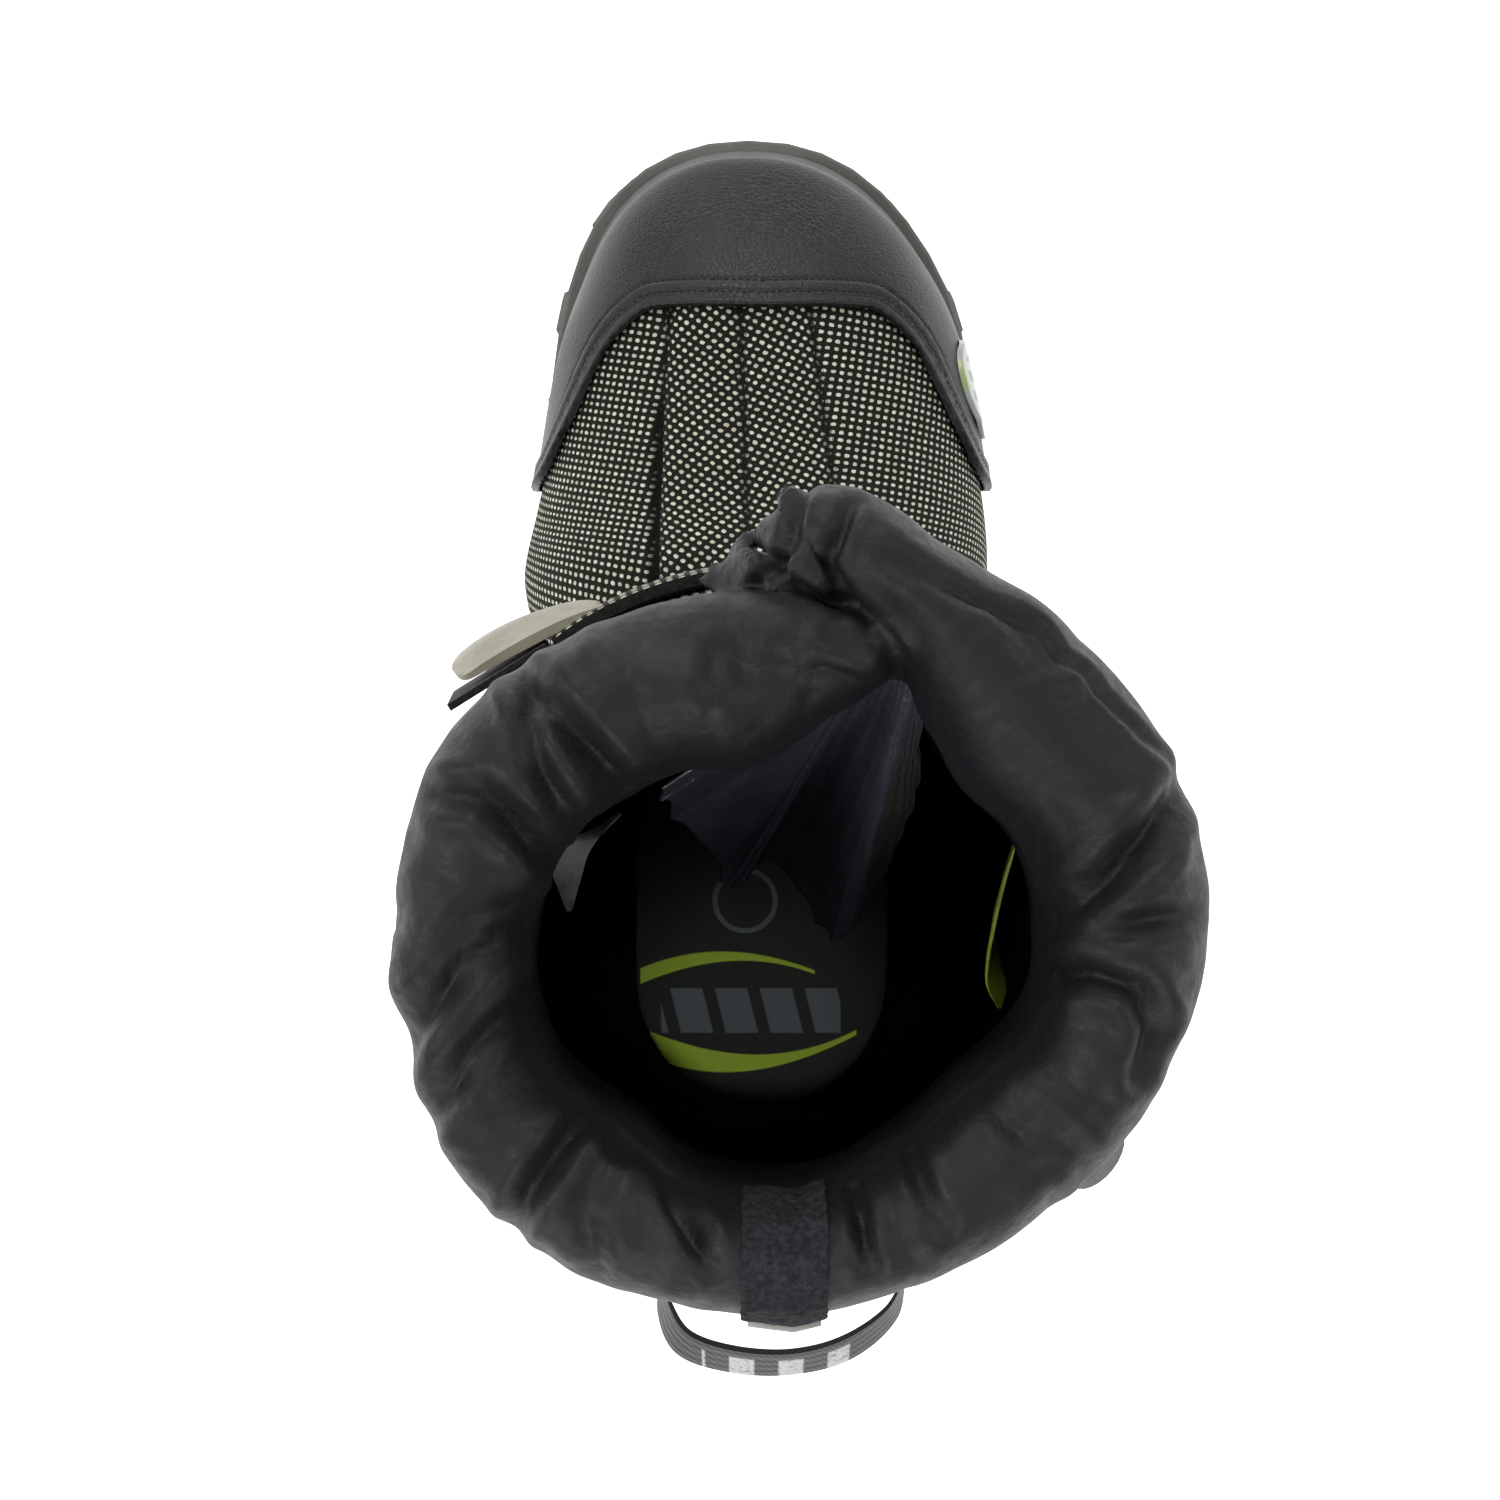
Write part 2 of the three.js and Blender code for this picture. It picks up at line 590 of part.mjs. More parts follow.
// An oval column along X from the centre plane outwards.
function ovalColumn(y, z, length, height) {
  const shape = new THREE.Shape();
  shape.absellipse(0, 0, length / 2, height / 2, 0, 2 * Math.PI);
  const geometry = new THREE.ExtrudeGeometry(shape, { depth: FAR, bevelEnabled: false, curveSegments: 12 });
  geometry.rotateX(Math.PI / 2);
  geometry.rotateZ(Math.PI / 2);
  geometry.translate(0, y, z);
  return solidOf(mergeVertices(geometry));
}

function makeBadge() {
  const under = CLEARANCE + CAP_THICKNESS + CLEARANCE;
  const oval = ovalColumn(TOE_END - BADGE_SETBACK, BADGE_RISE, BADGE_LENGTH, BADGE_HEIGHT);
  return footForm(under + BADGE_THICKNESS, aboveRim).subtract(footForm(under, bedOf(-WALL))).intersect(oval);
}

function makeInsole() {
  const inset = RIM_WALL + WALL + CLEARANCE;
  return longForm([
    line(inset, bedOf(CLEARANCE)),
    line(inset, bedOf(CLEARANCE + INSOLE_THICKNESS - 1)),
    line(inset + 1, bedOf(CLEARANCE + INSOLE_THICKNESS)),
  ]);
}

const collarValue = (name, turn) => curved(COLLAR, name, THREE.MathUtils.radToDeg(turn), "turn");

// The roll's section at a turn, grown by a gap: the padded roll, with its lining hanging inside to a hem.
function collarSection(turn, grow, pucker) {
  const ring = ringRadius(1, turn, 0);
  const outer = ring * collarValue("outer", turn) + grow + pucker;
  const inner = ring * collarValue("inner", turn) - grow + pucker;
  const width = outer - inner;
  const base = SHAFT_TOP + CLEARANCE - grow;
  const rise = COLLAR_HEIGHT * collarValue("rise", turn) + 2 * grow;
  const hang = Math.max(collarValue("hang", turn), 0);
  const hem = base - COLLAR_HANG * hang;
  const skirt = Math.min(HEM_THICKNESS + 2 * grow, width / 2);
  const profile = [
    [inner + HEM_FLARE * hang, hem],
    [inner, base + 0.1 * rise],
    [inner + 0.02 * width, base + 0.4 * rise],
    [inner + 0.13 * width, base + 0.78 * rise],
    [inner + 0.34 * width, base + 0.97 * rise],
    [inner + 0.56 * width, base + rise],
    [inner + 0.8 * width, base + 0.87 * rise],
    [inner + 0.96 * width, base + 0.58 * rise],
    [outer, base + 0.3 * rise],
    [inner + 0.96 * width, base + 0.05 * rise],
    [inner + 0.86 * width, base],
    [inner + skirt + 0.1 * width, base + 0.4],
    [inner + skirt + HEM_FLARE * hang, hem + 0.1],
  ];
  return profile.map(([radius, z]) => ringPoint(1, turn, radius, z));
}

function collarForm(grow) {
  const from = COLLAR[0].turn;
  const to = COLLAR[COLLAR.length - 1].turn;
  const sections = [];
  for (let n = 0; n <= COLLAR_STEPS; n += 1) {
    const turn = THREE.MathUtils.degToRad(THREE.MathUtils.lerp(from, to, n / COLLAR_STEPS));
    sections.push(collarSection(turn, grow, n % 2 ? PUCKER : 0));
  }
  return lofted(sections);
}

// Gusset: a thin sheet in folds between its upper and its lower edge, kept clear of the roll.
function makeGusset() {
  const size = SHAFT_DEPTH / 2;
  const place = (row, share, push) => {
    const x = THREE.MathUtils.lerp(row.across, row.lowAcross, share) * size + SHAFT_LEAN;
    const y = THREE.MathUtils.lerp(row.forward, row.lowForward, share) * size + SHAFT_CENTRE + push;
    return new THREE.Vector3(x, y, SHAFT_TOP - THREE.MathUtils.lerp(0, row.drop, share) * size);
  };
  const shares = [0, 0.33, 0.67, 1];
  const sections = GUSSET.map((row) => [
    ...shares.map((share) => place(row, share, GUSSET_THICKNESS / 2)),
    ...[...shares].reverse().map((share) => place(row, share, -GUSSET_THICKNESS / 2)),
  ]);
  return largest(lofted(sections).subtract(collarForm(CLEARANCE)));
}

// A plan outline as wide as the wedge between two turns, seen from the shaft's axis.
function wedge(fromTurn, toTurn) {
  const reach = SHAFT_WIDTH + SHAFT_DEPTH;
  const points = [ringPoint(1, 0, 0, 0)];
  for (const share of [0, 0.5, 1]) {
    const turn = THREE.MathUtils.degToRad(THREE.MathUtils.lerp(fromTurn, toTurn, share));
    points.push(ringPoint(1, turn, reach, 0));
  }
  return points.map((p) => [p.x, p.y]);
}

function box(x, y, z, width, depth, height) {
  const geometry = new THREE.BoxGeometry(width, depth, height);
  geometry.deleteAttribute("normal");
  geometry.deleteAttribute("uv");
  geometry.translate(x, y, z);
  return solidOf(geometry);
}

// A thin band along a path in plan, from low to high, its face leaning out by flare for each mm down.
function band(path, thickness, low, high, flare, outward) {
  const sections = path.map((point, n) => {
    const before = path[Math.max(n - 1, 0)];
    const after = path[Math.min(n + 1, path.length - 1)];
    const direction = after.clone().sub(before).normalize();
    const normal = new THREE.Vector3(-direction.y, direction.x, 0);
    const corner = (side, z) =>
      point
        .clone()
        .addScaledVector(normal, (side * thickness) / 2)
        .addScaledVector(outward, (high - z) * flare)
        .setZ(z);
    return [corner(-1, low), corner(1, low), corner(1, high), corner(-1, high)];
  });
  return lofted(sections);
}

// A point beside the shaft's widest ring, gap away from its wall.
function beside(degrees, gap) {
  const turn = THREE.MathUtils.degToRad(degrees);
  const { at } = SHAFT[SHAFT.length - 2];
  return ringPoint(at, turn, ringRadius(at, turn, gap), 0);
}

function makeFlap() {
  const high = SHAFT_TOP - FLAP_TOP_GAP;
  const region = column(wedge(FLAP_LATERAL_TURN, FLAP_MEDIAL_TURN), high - FLAP_HEIGHT, high);
  return largest(
    shaftForm(CLEARANCE + FLAP_THICKNESS, 0)
      .subtract(shaftForm(CLEARANCE, 0))
      .intersect(region)
      .subtract(footForm(CLEARANCE + PLEAT_STEP, bedAt)),
  );
}

// The way in which a free end leaves the flap, turned in plan from the shoe's cross axis to the heel.
function leaving(degrees) {
  const turn = THREE.MathUtils.degToRad(degrees);
  return new THREE.Vector3(-Math.cos(turn), -Math.sin(turn), 0);
}

const tabOutward = leaving(TAB_TURN - 90);
const tabSeat = CLEARANCE + FLAP_THICKNESS + CLEARANCE;

// The tab lies on the flap's end and leaves it straight.
function makeTab() {
  const path = [];
  for (let n = 0; n <= 3; n += 1) path.push(beside(FLAP_MEDIAL_TURN - TAB_LAP * (1 - n / 3), tabSeat));
  const root = path[path.length - 1];
  path.push(root.clone().addScaledVector(leaving(TAB_TURN), TAB_LENGTH));
  const high = SHAFT_TOP - TAB_TOP_GAP;
  const tab = band(path, TAB_THICKNESS, high - TAB_WIDTH, high, TAB_FLARE, tabOutward);
  return largest(tab.subtract(shaftForm(tabSeat, 0)));
}

// The hook strip lies under the tab, beside the flap's end.
function makeHookStrip() {
  const ahead = THREE.MathUtils.radToDeg(CLEARANCE / (SHAFT_WIDTH / 2));
  const under = tabSeat - TAB_THICKNESS / 2 - CLEARANCE - STRIP_THICKNESS / 2;
  const root = beside(FLAP_MEDIAL_TURN, under);
  const path = [root, root.clone().addScaledVector(leaving(STRIP_TURN), STRIP_LENGTH)];
  const high = SHAFT_TOP - TAB_TOP_GAP - (TAB_WIDTH - STRIP_WIDTH) / 2;
  const strip = band(path, STRIP_THICKNESS, high - STRIP_WIDTH, high, TAB_FLARE, tabOutward);
  return largest(strip.subtract(column(wedge(FLAP_LATERAL_TURN, FLAP_MEDIAL_TURN + ahead), 0, FAR)));
}

// The part of the roll's back that a tape or patch covers, between two distances from its surface.
function overRoll(near, far, width, low, high) {
  const rear = SHAFT_CENTRE - SHAFT_DEPTH / 2;
  const region = box(SHAFT_LEAN / 2, rear, (low + high) / 2, width, SHAFT_DEPTH, high - low);
  return collarForm(far).subtract(collarForm(near)).intersect(region);
}

const tapeOver = CLEARANCE + TAPE_THICKNESS;

const makeTape = () => overRoll(CLEARANCE, tapeOver, TAPE_WIDTH, SHAFT_TOP + 2, FAR);

function makePatch() {
  const near = tapeOver + CLEARANCE;
  const outside = box(0, SHAFT_CENTRE - SHAFT_DEPTH, SHAFT_TOP, SHAFT_WIDTH, SHAFT_DEPTH, SHAFT_TOP);
  return overRoll(near, near + PATCH_THICKNESS, PATCH_WIDTH, SHAFT_TOP + 2, SHAFT_TOP + 2 + PATCH_HEIGHT)
    .intersect(outside);
}

// The loop's webbing stands on edge and its ends meet the shaft.
function makeLoop() {
  const path = [];
  const rear = beside(-90, 0).y;
  for (let n = 0; n <= 14; n += 1) {
    const turn = Math.PI + (n / 14) * Math.PI;
    const x = SHAFT_LEAN / 2 + (LOOP_WIDTH / 2) * Math.cos(turn);
    path.push(new THREE.Vector3(x, rear + 8 + (LOOP_REACH + 8) * Math.sin(turn), 0));
  }
  const high = SHAFT_TOP - TRIM_DROP;
  const webbing = band(path, LOOP_THICKNESS, high - LOOP_WEBBING, high, LOOP_FLARE, new THREE.Vector3(0, -1, 0));
  return largest(webbing.subtract(shaftForm(CLEARANCE, 0)));
}

function makeRing() {
  const outer = new THREE.Shape();
  outer.absellipse(0, 0, RING_WIDTH / 2, RING_LENGTH / 2, 0, 2 * Math.PI);
  const hole = new THREE.Path();
  hole.absellipse(0, 0, RING_WIDTH / 2 - RING_ROD, RING_LENGTH / 2 - RING_ROD, 0, 2 * Math.PI);
  outer.holes.push(hole);
  const geometry = new THREE.ExtrudeGeometry(outer, { depth: RING_ROD, bevelEnabled: false, curveSegments: 12 });
  const turn = THREE.MathUtils.degToRad(RING_TURN);
  const place = ringPoint(1, turn, ringRadius(1, turn, CLEARANCE + RING_WIDTH / 2), 0);
  geometry.rotateZ(turn);
  geometry.translate(place.x, place.y, SHAFT_TOP - TRIM_DROP - RING_ROD);
  return solidOf(mergeVertices(geometry)).subtract(shaftForm(CLEARANCE, 0));
}

// A tab that hangs from the hem inside the roll.
function makeInnerTab() {
  const path = [];
  for (let n = 0; n <= 6; n += 1) {
    const turn = THREE.MathUtils.degToRad(INNER_TAB_TURN + INNER_TAB_SPAN * (n / 6 - 0.5));
    const radius = ringRadius(1, turn, 0) * collarValue("inner", turn) + HEM_FLARE * 0.8;
    path.push(ringPoint(1, turn, radius - INNER_TAB_THICKNESS / 2, 0));
  }
  const high = SHAFT_TOP - COLLAR_HANG + INNER_TAB_LAP;
  const inward = new THREE.Vector3(-1, 0, 0);
  const tab = band(path, INNER_TAB_THICKNESS, high - INNER_TAB_HEIGHT, high, 0.08, inward);
  return largest(tab.subtract(collarForm(CLEARANCE)));
}

function makeLabel() {
  const turn = THREE.MathUtils.degToRad(LABEL_TURN);
  const radius = ringRadius(1, turn, 0) * collarValue("inner", turn);
  const geometry = new THREE.BoxGeometry(LABEL_REACH + 2, LABEL_LENGTH, LABEL_THICKNESS);
  geometry.deleteAttribute("normal");
  geometry.deleteAttribute("uv");
  geometry.translate(-LABEL_REACH / 2, 0, 0);
  geometry.rotateY(THREE.MathUtils.degToRad(-LABEL_SLOPE));
  geometry.rotateZ(turn);
  const root = ringPoint(1, turn, radius, SHAFT_TOP - LABEL_DROP);
  geometry.translate(root.x, root.y, root.z);
  return largest(solidOf(geometry).subtract(collarForm(CLEARANCE)));
}

addPiece("outsole", makeOutsole(), material(0x2c2a27, 0.75));
addPiece("insole", makeInsole(), material(0x1b1c1d, 0.9));
addPiece("upper", makeUpper(), material(0x5c5d50, 0.9));
addPiece("toe_cap", makeToeCap(), material(0x2a2c2d, 0.45));
addPiece("badge", makeBadge(), material(0xb9bcb4, 0.35));
addPiece("collar", collarForm(0), material(0x1b1d22, 0.5));
addPiece("gusset", makeGusset(), material(0x161822, 0.45));
addPiece("front_flap", makeFlap(), material(0x5c5d50, 0.9));
addPiece("flap_tab", makeTab(), material(0xb8b19a, 0.5));
addPiece("hook_strip", makeHookStrip(), material(0x141414, 0.95));
addPiece("back_tape", makeTape(), material(0x1c1c1e, 0.95));
addPiece("back_patch", makePatch(), material(0x9a9790, 0.4));
addPiece("pull_loop", makeLoop(), material(0x17181c, 0.8));
addPiece("side_ring", makeRing(), material(0x8a8b88, 0.3));
addPiece("inner_tab", makeInnerTab(), material(0x9fb82e, 0.35));
addPiece("inner_label", makeLabel(), material(0x9ba0a3, 0.4));

export default overshoe;
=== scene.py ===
"""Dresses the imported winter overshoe: its forms, finishes and stitches, with floor, light and camera."""
import json
import logging
import math
from dataclasses import dataclass
from enum import Enum

import bmesh
import bpy
import numpy as np
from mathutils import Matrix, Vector, noise

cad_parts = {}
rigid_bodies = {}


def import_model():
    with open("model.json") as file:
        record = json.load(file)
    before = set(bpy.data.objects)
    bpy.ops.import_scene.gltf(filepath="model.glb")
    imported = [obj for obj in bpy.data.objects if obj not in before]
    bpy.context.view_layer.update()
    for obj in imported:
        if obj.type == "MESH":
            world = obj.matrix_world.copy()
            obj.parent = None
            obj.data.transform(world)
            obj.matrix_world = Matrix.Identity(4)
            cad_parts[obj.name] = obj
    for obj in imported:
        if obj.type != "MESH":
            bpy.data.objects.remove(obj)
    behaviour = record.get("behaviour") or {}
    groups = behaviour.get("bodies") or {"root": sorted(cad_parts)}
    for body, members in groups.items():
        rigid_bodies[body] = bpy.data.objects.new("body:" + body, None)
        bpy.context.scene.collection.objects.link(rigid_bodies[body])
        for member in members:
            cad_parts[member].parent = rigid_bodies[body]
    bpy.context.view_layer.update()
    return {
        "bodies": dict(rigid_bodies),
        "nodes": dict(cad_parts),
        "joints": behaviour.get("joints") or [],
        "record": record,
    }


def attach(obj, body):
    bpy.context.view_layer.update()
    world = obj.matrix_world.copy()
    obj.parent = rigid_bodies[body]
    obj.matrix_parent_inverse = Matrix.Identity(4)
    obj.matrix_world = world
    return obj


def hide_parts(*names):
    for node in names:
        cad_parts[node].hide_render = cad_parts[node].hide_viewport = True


log = logging.getLogger("overshoe")

MM = 0.001
Rows = tuple[tuple[float, ...], ...]
Color = tuple[float, float, float]
Faces = list[tuple[int, ...]]
Socket = bpy.types.NodeSocket


# Curves through the tables


def eased(rows: Rows, column: int, at: np.ndarray) -> np.ndarray:
    """Reads a column of a table with a smooth step from row to row.

    Args:
        rows: the table, its first column rising.
        column: which column to read.
        at: where to read it.

    Returns:
        The values, in the shape of at.
    """
    table = np.array(rows)
    i = np.clip(np.searchsorted(table[:, 0], at, side="left"), 1, len(table) - 1)
    t = np.clip((at - table[i - 1, 0]) / (table[i, 0] - table[i - 1, 0]), 0, 1)
    return table[i - 1, column] + (table[i, column] - table[i - 1, column]) * t * t * (3 - 2 * t)


def smooth(rows: Rows, column: int, at: np.ndarray) -> np.ndarray:
    """Reads a column of a table on a smooth curve through its rows.

    Args:
        rows: the table.
        column: which column to read.
        at: where to read it.

    Returns:
        The values, in the shape of at.
    """
    table = np.array(sorted(rows))
    key, value = table[:, 0], table[:, column]
    last = len(table) - 1
    before, after = np.maximum(np.arange(last + 1) - 1, 0), np.minimum(np.arange(last + 1) + 1, last)
    slope = (value[after] - value[before]) / (key[after] - key[before])
    i = np.clip(np.searchsorted(key, at, side="left") - 1, 0, last - 1)
    span = key[i + 1] - key[i]
    t = np.clip((at - key[i]) / span, 0, 1)
    lift = t * (1 - t) * ((1 - t) * slope[i] - t * slope[i + 1]) * span
    return value[i] + (value[i + 1] - value[i]) * t * t * (3 - 2 * t) + lift


def step(value: np.ndarray, low: float, high: float) -> np.ndarray:
    """Rises smoothly from 0 at low to 1 at high."""
    t = np.clip((value - low) / (high - low), 0, 1)
    return t * t * (3 - 2 * t)


@dataclass(frozen=True)
class FootForm:
    """The foot's part of the last, in millimetres, as the part's own tables give it."""

    length: float = 309.0
    overhang: float = 46.0
    ball_width: float = 132.0
    heel_width: float = 101.0
    toe_round: float = 90.0
    heel_round: float = 56.0
    outline: float = 2.2
    swing: float = 4.0
    heel_bed: float = 26.0
    ball_bed: float = 16.0
    spring: float = 13.0
    rim_height: float = 13.0
    rim_wall: float = 6.5
    instep: float = 132.0
    bulge: float = 10.0
    bulge_rise: float = 15.0
    toe_dome: float = 44.0
    toe_lean: float = 5.0
    section: float = 2.3
    plan: Rows = (
        (0, 0, 0), (0.15, 0, 0), (0.27, -0.1, 0), (0.39, -0.4, 0.14), (0.55, -0.1, 0.9), (0.68, 0, 1),
        (0.83, 0.12, 1.01), (0.94, 0.85, 1.05), (1, 1, 1.05),
    )
    sole: Rows = (
        (0, 1, 0.2), (0.05, 1, 0), (0.265, 1, 0), (0.3, 0.95, 0), (0.38, 0.6, 0), (0.5, 0.1, 0),
        (0.73, 0, 0), (0.86, 0, 0.34), (1, 0, 1),
    )
    vamp: Rows = (
        (0, 0.45, 0.45, 0.58), (0.15, 0.45, 0.45, 0.64), (0.27, 0.65, 0.6, 0.8), (0.39, 1.2, 0.95, 1),
        (0.55, 1.45, 1, 1), (0.62, 0.95, 0.85, 0.885), (0.69, 0.5, 0.55, 0.79), (0.76, 0.2, 0.2, 0.71),
        (0.84, 0.02, 0.04, 0.635), (0.92, 0.06, 0.08, 0.57), (1, 0, 0, 0.5),
    )

    def along(self, y: np.ndarray) -> np.ndarray:
        """Gives the share of the sole's length at y."""
        return (y + self.overhang) / self.length

    def toe(self) -> float:
        """Gives y at the toe's tip."""
        return self.length - self.overhang

    def bed(self, y: np.ndarray) -> np.ndarray:
        """Gives the foot bed's height at y."""
        at = self.along(y)
        share = eased(self.sole, 1, at)
        return self.ball_bed + (self.heel_bed - self.ball_bed) * share + self.spring * eased(self.sole, 2, at)

    def centre(self, y: np.ndarray) -> np.ndarray:
        """Gives x of the middle line at y."""
        return -self.swing * smooth(self.plan, 1, self.along(y))

    def half(self, y: np.ndarray, inset: np.ndarray) -> np.ndarray:
        """Gives half the outline's width at y, inset from the rim."""
        toe = (y - (self.toe() - self.toe_round)) / (self.toe_round - inset)
        heel = (self.heel_round - self.overhang - y) / (self.heel_round - inset)
        t = np.clip(np.maximum(toe, heel), 0, 1)
        ball = smooth(self.plan, 2, self.along(y))
        wide = (self.heel_width + (self.ball_width - self.heel_width) * ball) / 2 - inset
        return wide * (1 - t**self.outline) ** (1 / self.outline)

    def wide(self, y: np.ndarray) -> np.ndarray:
        """Gives the height of the widest line at y."""
        return self.bed(y) + self.rim_height + self.bulge_rise

    def crown(self, y: np.ndarray, offset: np.ndarray) -> np.ndarray:
        """Gives the dome's height over the widest line at y."""
        reach = (y - (self.toe() - self.rim_wall + offset - self.toe_dome)) / self.toe_dome
        t = np.clip(reach, 0, 1)
        tall = self.instep * smooth(self.vamp, 3, self.along(y)) + offset - self.wide(y)
        return tall * (1 - t**self.section) ** (1 / self.section)

    def point(self, y: np.ndarray, sweep: np.ndarray, offset: np.ndarray) -> np.ndarray:
        """Places points on the foot's surface grown by an offset.

        Args:
            y: where along the foot.
            sweep: 0 at the top, 1 and -1 at the lateral and medial widest lines, 2 and -2 at the rim's
                top, 3 and -3 at the foot bed.
            offset: how far the form is grown.

        Returns:
            The points, with a last axis of three.
        """
        y, sweep, offset = np.broadcast_arrays(y, sweep, np.asarray(offset, float))
        inset = self.rim_wall - offset
        at = self.along(y)
        bulge = self.bulge * np.where(sweep < 0, smooth(self.vamp, 1, at), smooth(self.vamp, 2, at))
        angle = (1 - np.clip(np.abs(sweep), 0, 1)) * math.pi / 2
        side, up = np.cos(angle) ** (2 / self.section), np.sin(angle) ** (2 / self.section)
        low = np.clip(np.abs(sweep) - 1, 0, 1)
        base = np.clip(np.abs(sweep) - 2, 0, 1)
        half = self.half(y, inset - bulge) * (1 - low) + self.half(y, inset) * low
        rim = self.bed(y) + self.rim_height + 1
        z = (self.wide(y) + self.crown(y, offset) * up) * (1 - low) + rim * low
        z = z * (1 - base) + self.bed(y) * base
        x = self.centre(y) + np.sign(sweep) * half * side
        lean = self.toe_lean * step(z - rim, 0.0, 15.0) * step(y, 190.0, 256.0)
        across, ahead = x / self.ball_width**2, (y - self.toe() + self.toe_round) / (4 * self.toe_round**2)
        far = np.hypot(across, ahead) + 1e-9
        return np.stack([x - lean * across / far, y - lean * ahead / far, z], axis=-1)


@dataclass(frozen=True)
class ShaftForm:
    """The shaft's part of the last, in millimetres, as rings round a leaning axis."""

    top: float = 306.0
    width: float = 146.0
    depth: float = 142.0
    lean: float = 7.0
    centre: float = 38.0
    outline: float = 2.2
    rings: Rows = (
        (0.16, 0, -13, 0.6, 0.9), (0.24, 0, -11, 0.645, 0.965), (0.3, 0, -8, 0.7, 1.03),
        (0.36, 0.05, -5, 0.75, 1.06), (0.44, 0.1, -1, 0.8, 1.12), (0.55, 0.2, 0, 0.85, 1.11),
        (0.68, 0.45, 0, 0.93, 1.1), (0.81, 0.75, 0, 1.01, 1.07), (0.93, 0.95, 0, 1.05, 1.045),
        (1, 1, 0, 1, 1),
    )

    def axis(self, share: np.ndarray) -> tuple[np.ndarray, np.ndarray]:
        """Gives x and y of the axis at a share of the height."""
        return self.lean * smooth(self.rings, 1, share), self.centre + smooth(self.rings, 2, share)

    def radius(self, share: np.ndarray, turn: np.ndarray, offset: float = 0.0) -> np.ndarray:
        """Gives the ring's radius at a turn from the lateral side, in radians."""
        half = self.width / 2 * smooth(self.rings, 3, share) + offset
        deep = self.depth / 2 * smooth(self.rings, 4, share) + offset
        a, b = np.abs(np.cos(turn)) / half, np.abs(np.sin(turn)) / deep
        return (a**self.outline + b**self.outline) ** (-1 / self.outline)

    def point(self, share: np.ndarray, turn: np.ndarray, radius: np.ndarray, z: np.ndarray) -> np.ndarray:
        """Places points at a turn and a radius from the axis."""
        x, y = self.axis(share)
        parts = np.broadcast_arrays(x + radius * np.cos(turn), y + radius * np.sin(turn), z)
        return np.stack(parts, axis=-1)


FOOT = FootForm()
SHAFT = ShaftForm()


# Meshes


def linked(name: str, data: bpy.types.ID) -> bpy.types.Object:
    """Makes an object of its data and puts it in the scene."""
    made = bpy.data.objects.new(name, data)
    bpy.context.collection.objects.link(made)
    return made


def surface(name: str, points: np.ndarray, faces: Faces, edges: Faces | None = None) -> bpy.types.Object:
    """Makes an object of points in millimetres, with faces or with edges alone."""
    mesh = bpy.data.meshes.new(name)
    mesh.from_pydata((np.asarray(points) * MM).tolist(), edges or [], faces)
    return linked(name, mesh)


def solid(name: str, points: np.ndarray, faces: Faces) -> bpy.types.Object:
    """Makes an object of points in millimetres, welded, with its faces turned out."""
    piece = surface(name, points, faces)
    edit(piece, 1e-5)
    return piece


def edit(piece: bpy.types.Object, weld: float) -> None:
    """Welds points nearer than weld, in metres, drops flat faces and turns the faces out."""
    form = bmesh.new()
    form.from_mesh(piece.data)
    bmesh.ops.remove_doubles(form, verts=form.verts, dist=weld)
    bmesh.ops.dissolve_degenerate(form, edges=form.edges, dist=1e-7)
    bmesh.ops.recalc_face_normals(form, faces=form.faces)
    form.to_mesh(piece.data)
    form.free()
    piece.data.update()


def grid_faces(rows: int, columns: int, around: bool = False) -> Faces:
    """Lists the quads of a grid of points stored row by row; around joins each row's ends."""
    faces = []
    for r in range(rows - 1):
        for c in range(columns if around else columns - 1):
            n = (c + 1) % columns
            faces.append((r * columns + c, r * columns + n, (r + 1) * columns + n, (r + 1) * columns + c))
    return faces


def places(mesh: bpy.types.Mesh) -> np.ndarray:
    """Reads a mesh's points in millimetres."""
    flat = np.empty(len(mesh.vertices) * 3)
    mesh.vertices.foreach_get("co", flat)
    return flat.reshape(-1, 3) / MM


def normals(mesh: bpy.types.Mesh) -> np.ndarray:
    """Reads a mesh's point normals."""
    flat = np.empty(len(mesh.vertices) * 3)
    mesh.vertices.foreach_get("normal", flat)
    return flat.reshape(-1, 3)


def set_places(mesh: bpy.types.Mesh, points: np.ndarray) -> None:
    """Writes a mesh's points, given in millimetres."""
    mesh.vertices.foreach_set("co", (points * MM).ravel())
    mesh.update()


def relax(mesh: bpy.types.Mesh, rounds: int, amount: float = 0.5) -> None:
    """Moves each point towards the middle of its neighbours, a number of rounds."""
    pairs = np.empty(len(mesh.edges) * 2, dtype=np.int64)
    mesh.edges.foreach_get("vertices", pairs)
    a, b = pairs.reshape(-1, 2).T
    points = places(mesh)
    count = np.bincount(np.concatenate([a, b]), minlength=len(points)).clip(1)
    for _ in range(rounds):
        sums = [np.bincount(a, p[b], len(p)) + np.bincount(b, p[a], len(p)) for p in points.T]
        total = np.stack(sums, axis=1)
        points += amount * (total / count[:, None] - points)
    set_places(mesh, points)


def settled(piece: bpy.types.Object) -> bpy.types.Object:
    """Turns an object with its modifiers into a plain mesh."""
    seen = piece.evaluated_get(bpy.context.evaluated_depsgraph_get())
    mesh = bpy.data.meshes.new_from_object(seen)
    piece.modifiers.clear()
    piece.data = mesh
    return piece


